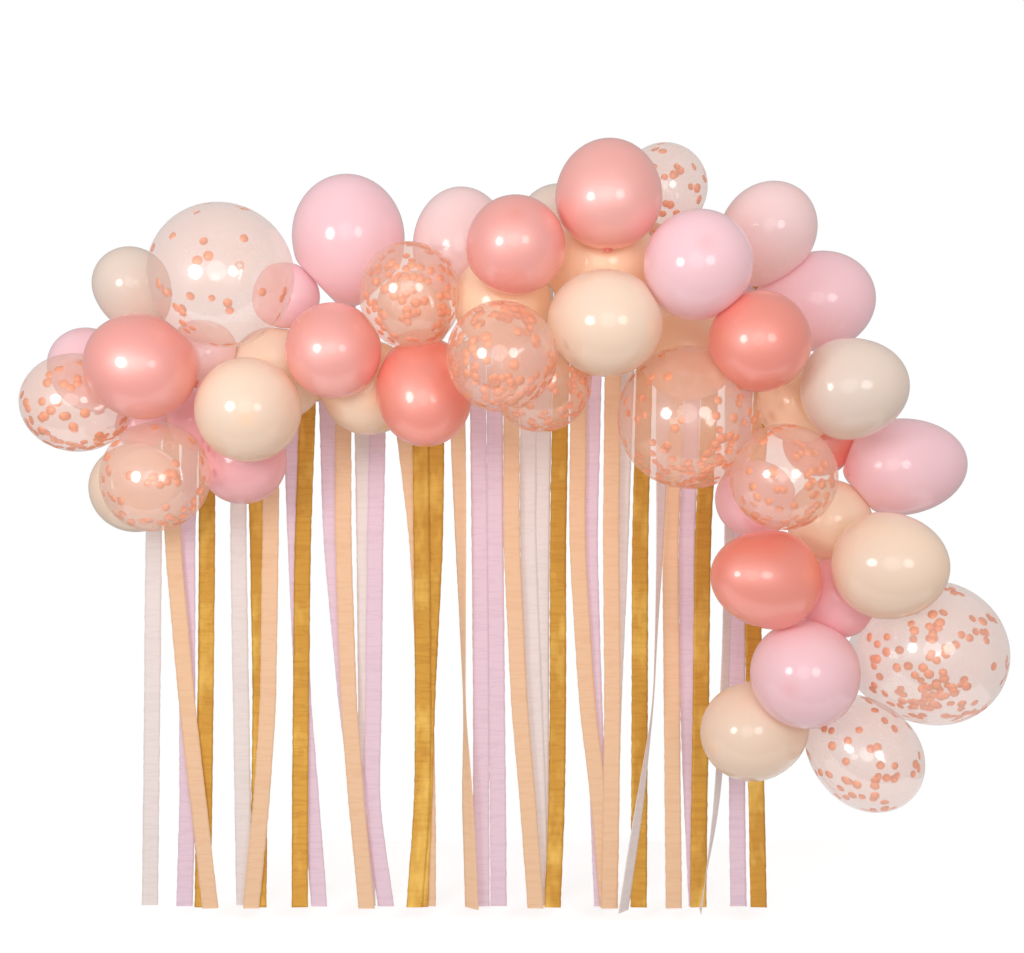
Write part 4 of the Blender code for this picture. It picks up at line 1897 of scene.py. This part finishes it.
@dataclass(frozen=True)
class SoftBox:
    """An oval lamp that faces a point.

    Attributes:
        name: Its name.
        place: Where it stands.
        size: Its width and height.
        power: Its power, in watts.
        aim: The point that it faces.
        mirrored: Whether glossy surfaces mirror it.
        lights: Whether it lights matt surfaces.
    """

    name: str
    place: Point
    size: tuple[float, float]
    power: float
    aim: Point = (-0.30, -0.20, -0.50)
    mirrored: bool = True
    lights: bool = True

    def build(self) -> None:
        """Put the lamp in the scene."""
        lamp = bpy.data.lights.new(self.name, "AREA")
        lamp.shape = "ELLIPSE"
        lamp.size, lamp.size_y = self.size
        lamp.energy = self.power
        stand = bpy.data.objects.new(self.name, lamp)
        stand.location = self.place
        way = Vector(self.aim) - Vector(self.place)
        stand.rotation_euler = way.to_track_quat("-Z", "Y").to_euler()
        stand.visible_glossy = self.mirrored
        stand.visible_diffuse = self.lights
        bpy.context.scene.collection.objects.link(stand)


@dataclass
class Studio:
    """White surroundings, a pale floor, soft lamps and a level camera.

    Attributes:
        lamps: The lamps.
        camera: Where the camera stands, looking along +Y.
        lens: Its focal length, in millimetres.
        sensor: Width of its sensor, in millimetres.
        floor: Height of the floor.
        reach: Half the width and half the depth of the floor.
        ambient: Brightness of the surroundings as a light, straight below and straight above.
        mirrored: Brightness of the surroundings in glossy surfaces.
    """

    lamps: tuple[SoftBox, ...] = (
        SoftBox("key", (-2.05, -2.55, -0.35), (0.90, 0.90), 24.0),
        SoftBox("fill", (0.98, -3.55, -0.30), (1.10, 1.10), 15.0),
        SoftBox("front", (-0.35, -3.40, 0.45), (2.60, 1.20), 34.0, mirrored=False),
        SoftBox("lustre", (-0.60, -3.60, -0.35), (1.80, 1.80), 12.0, lights=False),
    )
    camera: Point = (-0.3456, -3.2, -0.679)
    lens: float = 41.67
    sensor: float = 36.0
    floor: float = -1.94
    reach: tuple[float, float] = (2.2, 0.9)
    ambient: tuple[float, float] = (0.32, 0.76)
    mirrored: float = 0.45

    def _surroundings(self) -> None:
        """White as seen, grey as mirrored, and as a light brighter from above than from below."""
        world = bpy.data.worlds.new("studio")
        nodes = Nodes(world)
        way = nodes.add("ShaderNodeTexCoord", output="Generated")
        height = nodes.add("ShaderNodeSeparateXYZ", values={"Vector": way}, output="Z")
        below, above = self.ambient
        level = nodes.add("ShaderNodeMapRange", values={
            "Value": height, "From Min": -1.0, "To Min": below, "To Max": above,
        })
        for ray, brightness in (("Is Glossy Ray", self.mirrored), ("Is Camera Ray", 1.0)):
            kind = nodes.add("ShaderNodeLightPath", output=ray)
            level = nodes.add("ShaderNodeMix", values={"Factor": kind, "A": level, "B": brightness})
        white = nodes.opaque(WHITE)
        light = nodes.add("ShaderNodeBackground", values={"Color": white, "Strength": level})
        nodes.add("ShaderNodeOutputWorld", values={"Surface": light})
        bpy.context.scene.world = world

    def _floor(self) -> None:
        """A flat oblong under the streamers, which throws no light back."""
        corner = np.array([(-1, -1), (1, -1), (1, 1), (-1, 1)]) * self.reach
        corner = np.column_stack([corner + [self.camera[0], 0.0], np.full(4, self.floor)])
        floor = Surface(corner, np.array([[0, 1, 2, 3]])).add_to_scene(
            "floor", FloorPaint("floor").material()
        )
        floor.visible_diffuse = False

    def _camera(self) -> None:
        """A level camera in front of the garland."""
        made = bpy.data.objects.new("camera", bpy.data.cameras.new("camera"))
        made.data.lens = self.lens
        made.data.sensor_width = self.sensor
        made.location = self.camera
        made.rotation_euler = (math.pi / 2, 0.0, 0.0)
        bpy.context.scene.collection.objects.link(made)
        bpy.context.scene.camera = made

    def build(self) -> None:
        """Set everything up, with colours shown as they are."""
        self._surroundings()
        self._floor()
        self._camera()
        for lamp in self.lamps:
            lamp.build()
        bpy.context.scene.view_settings.view_transform = "Standard"


def main() -> None:
    """Build the garland from the strip outwards, then the studio."""
    logging.basicConfig(level=logging.INFO, format="%(name)s: %(message)s")
    arch = ArchLine()
    DecoratingStrip(arch).build()
    BalloonCluster(arch, designed(), filled()).build()
    StreamerCurtain(arch, hung()).build()
    Studio().build()


if __name__ == "__main__":
    main()
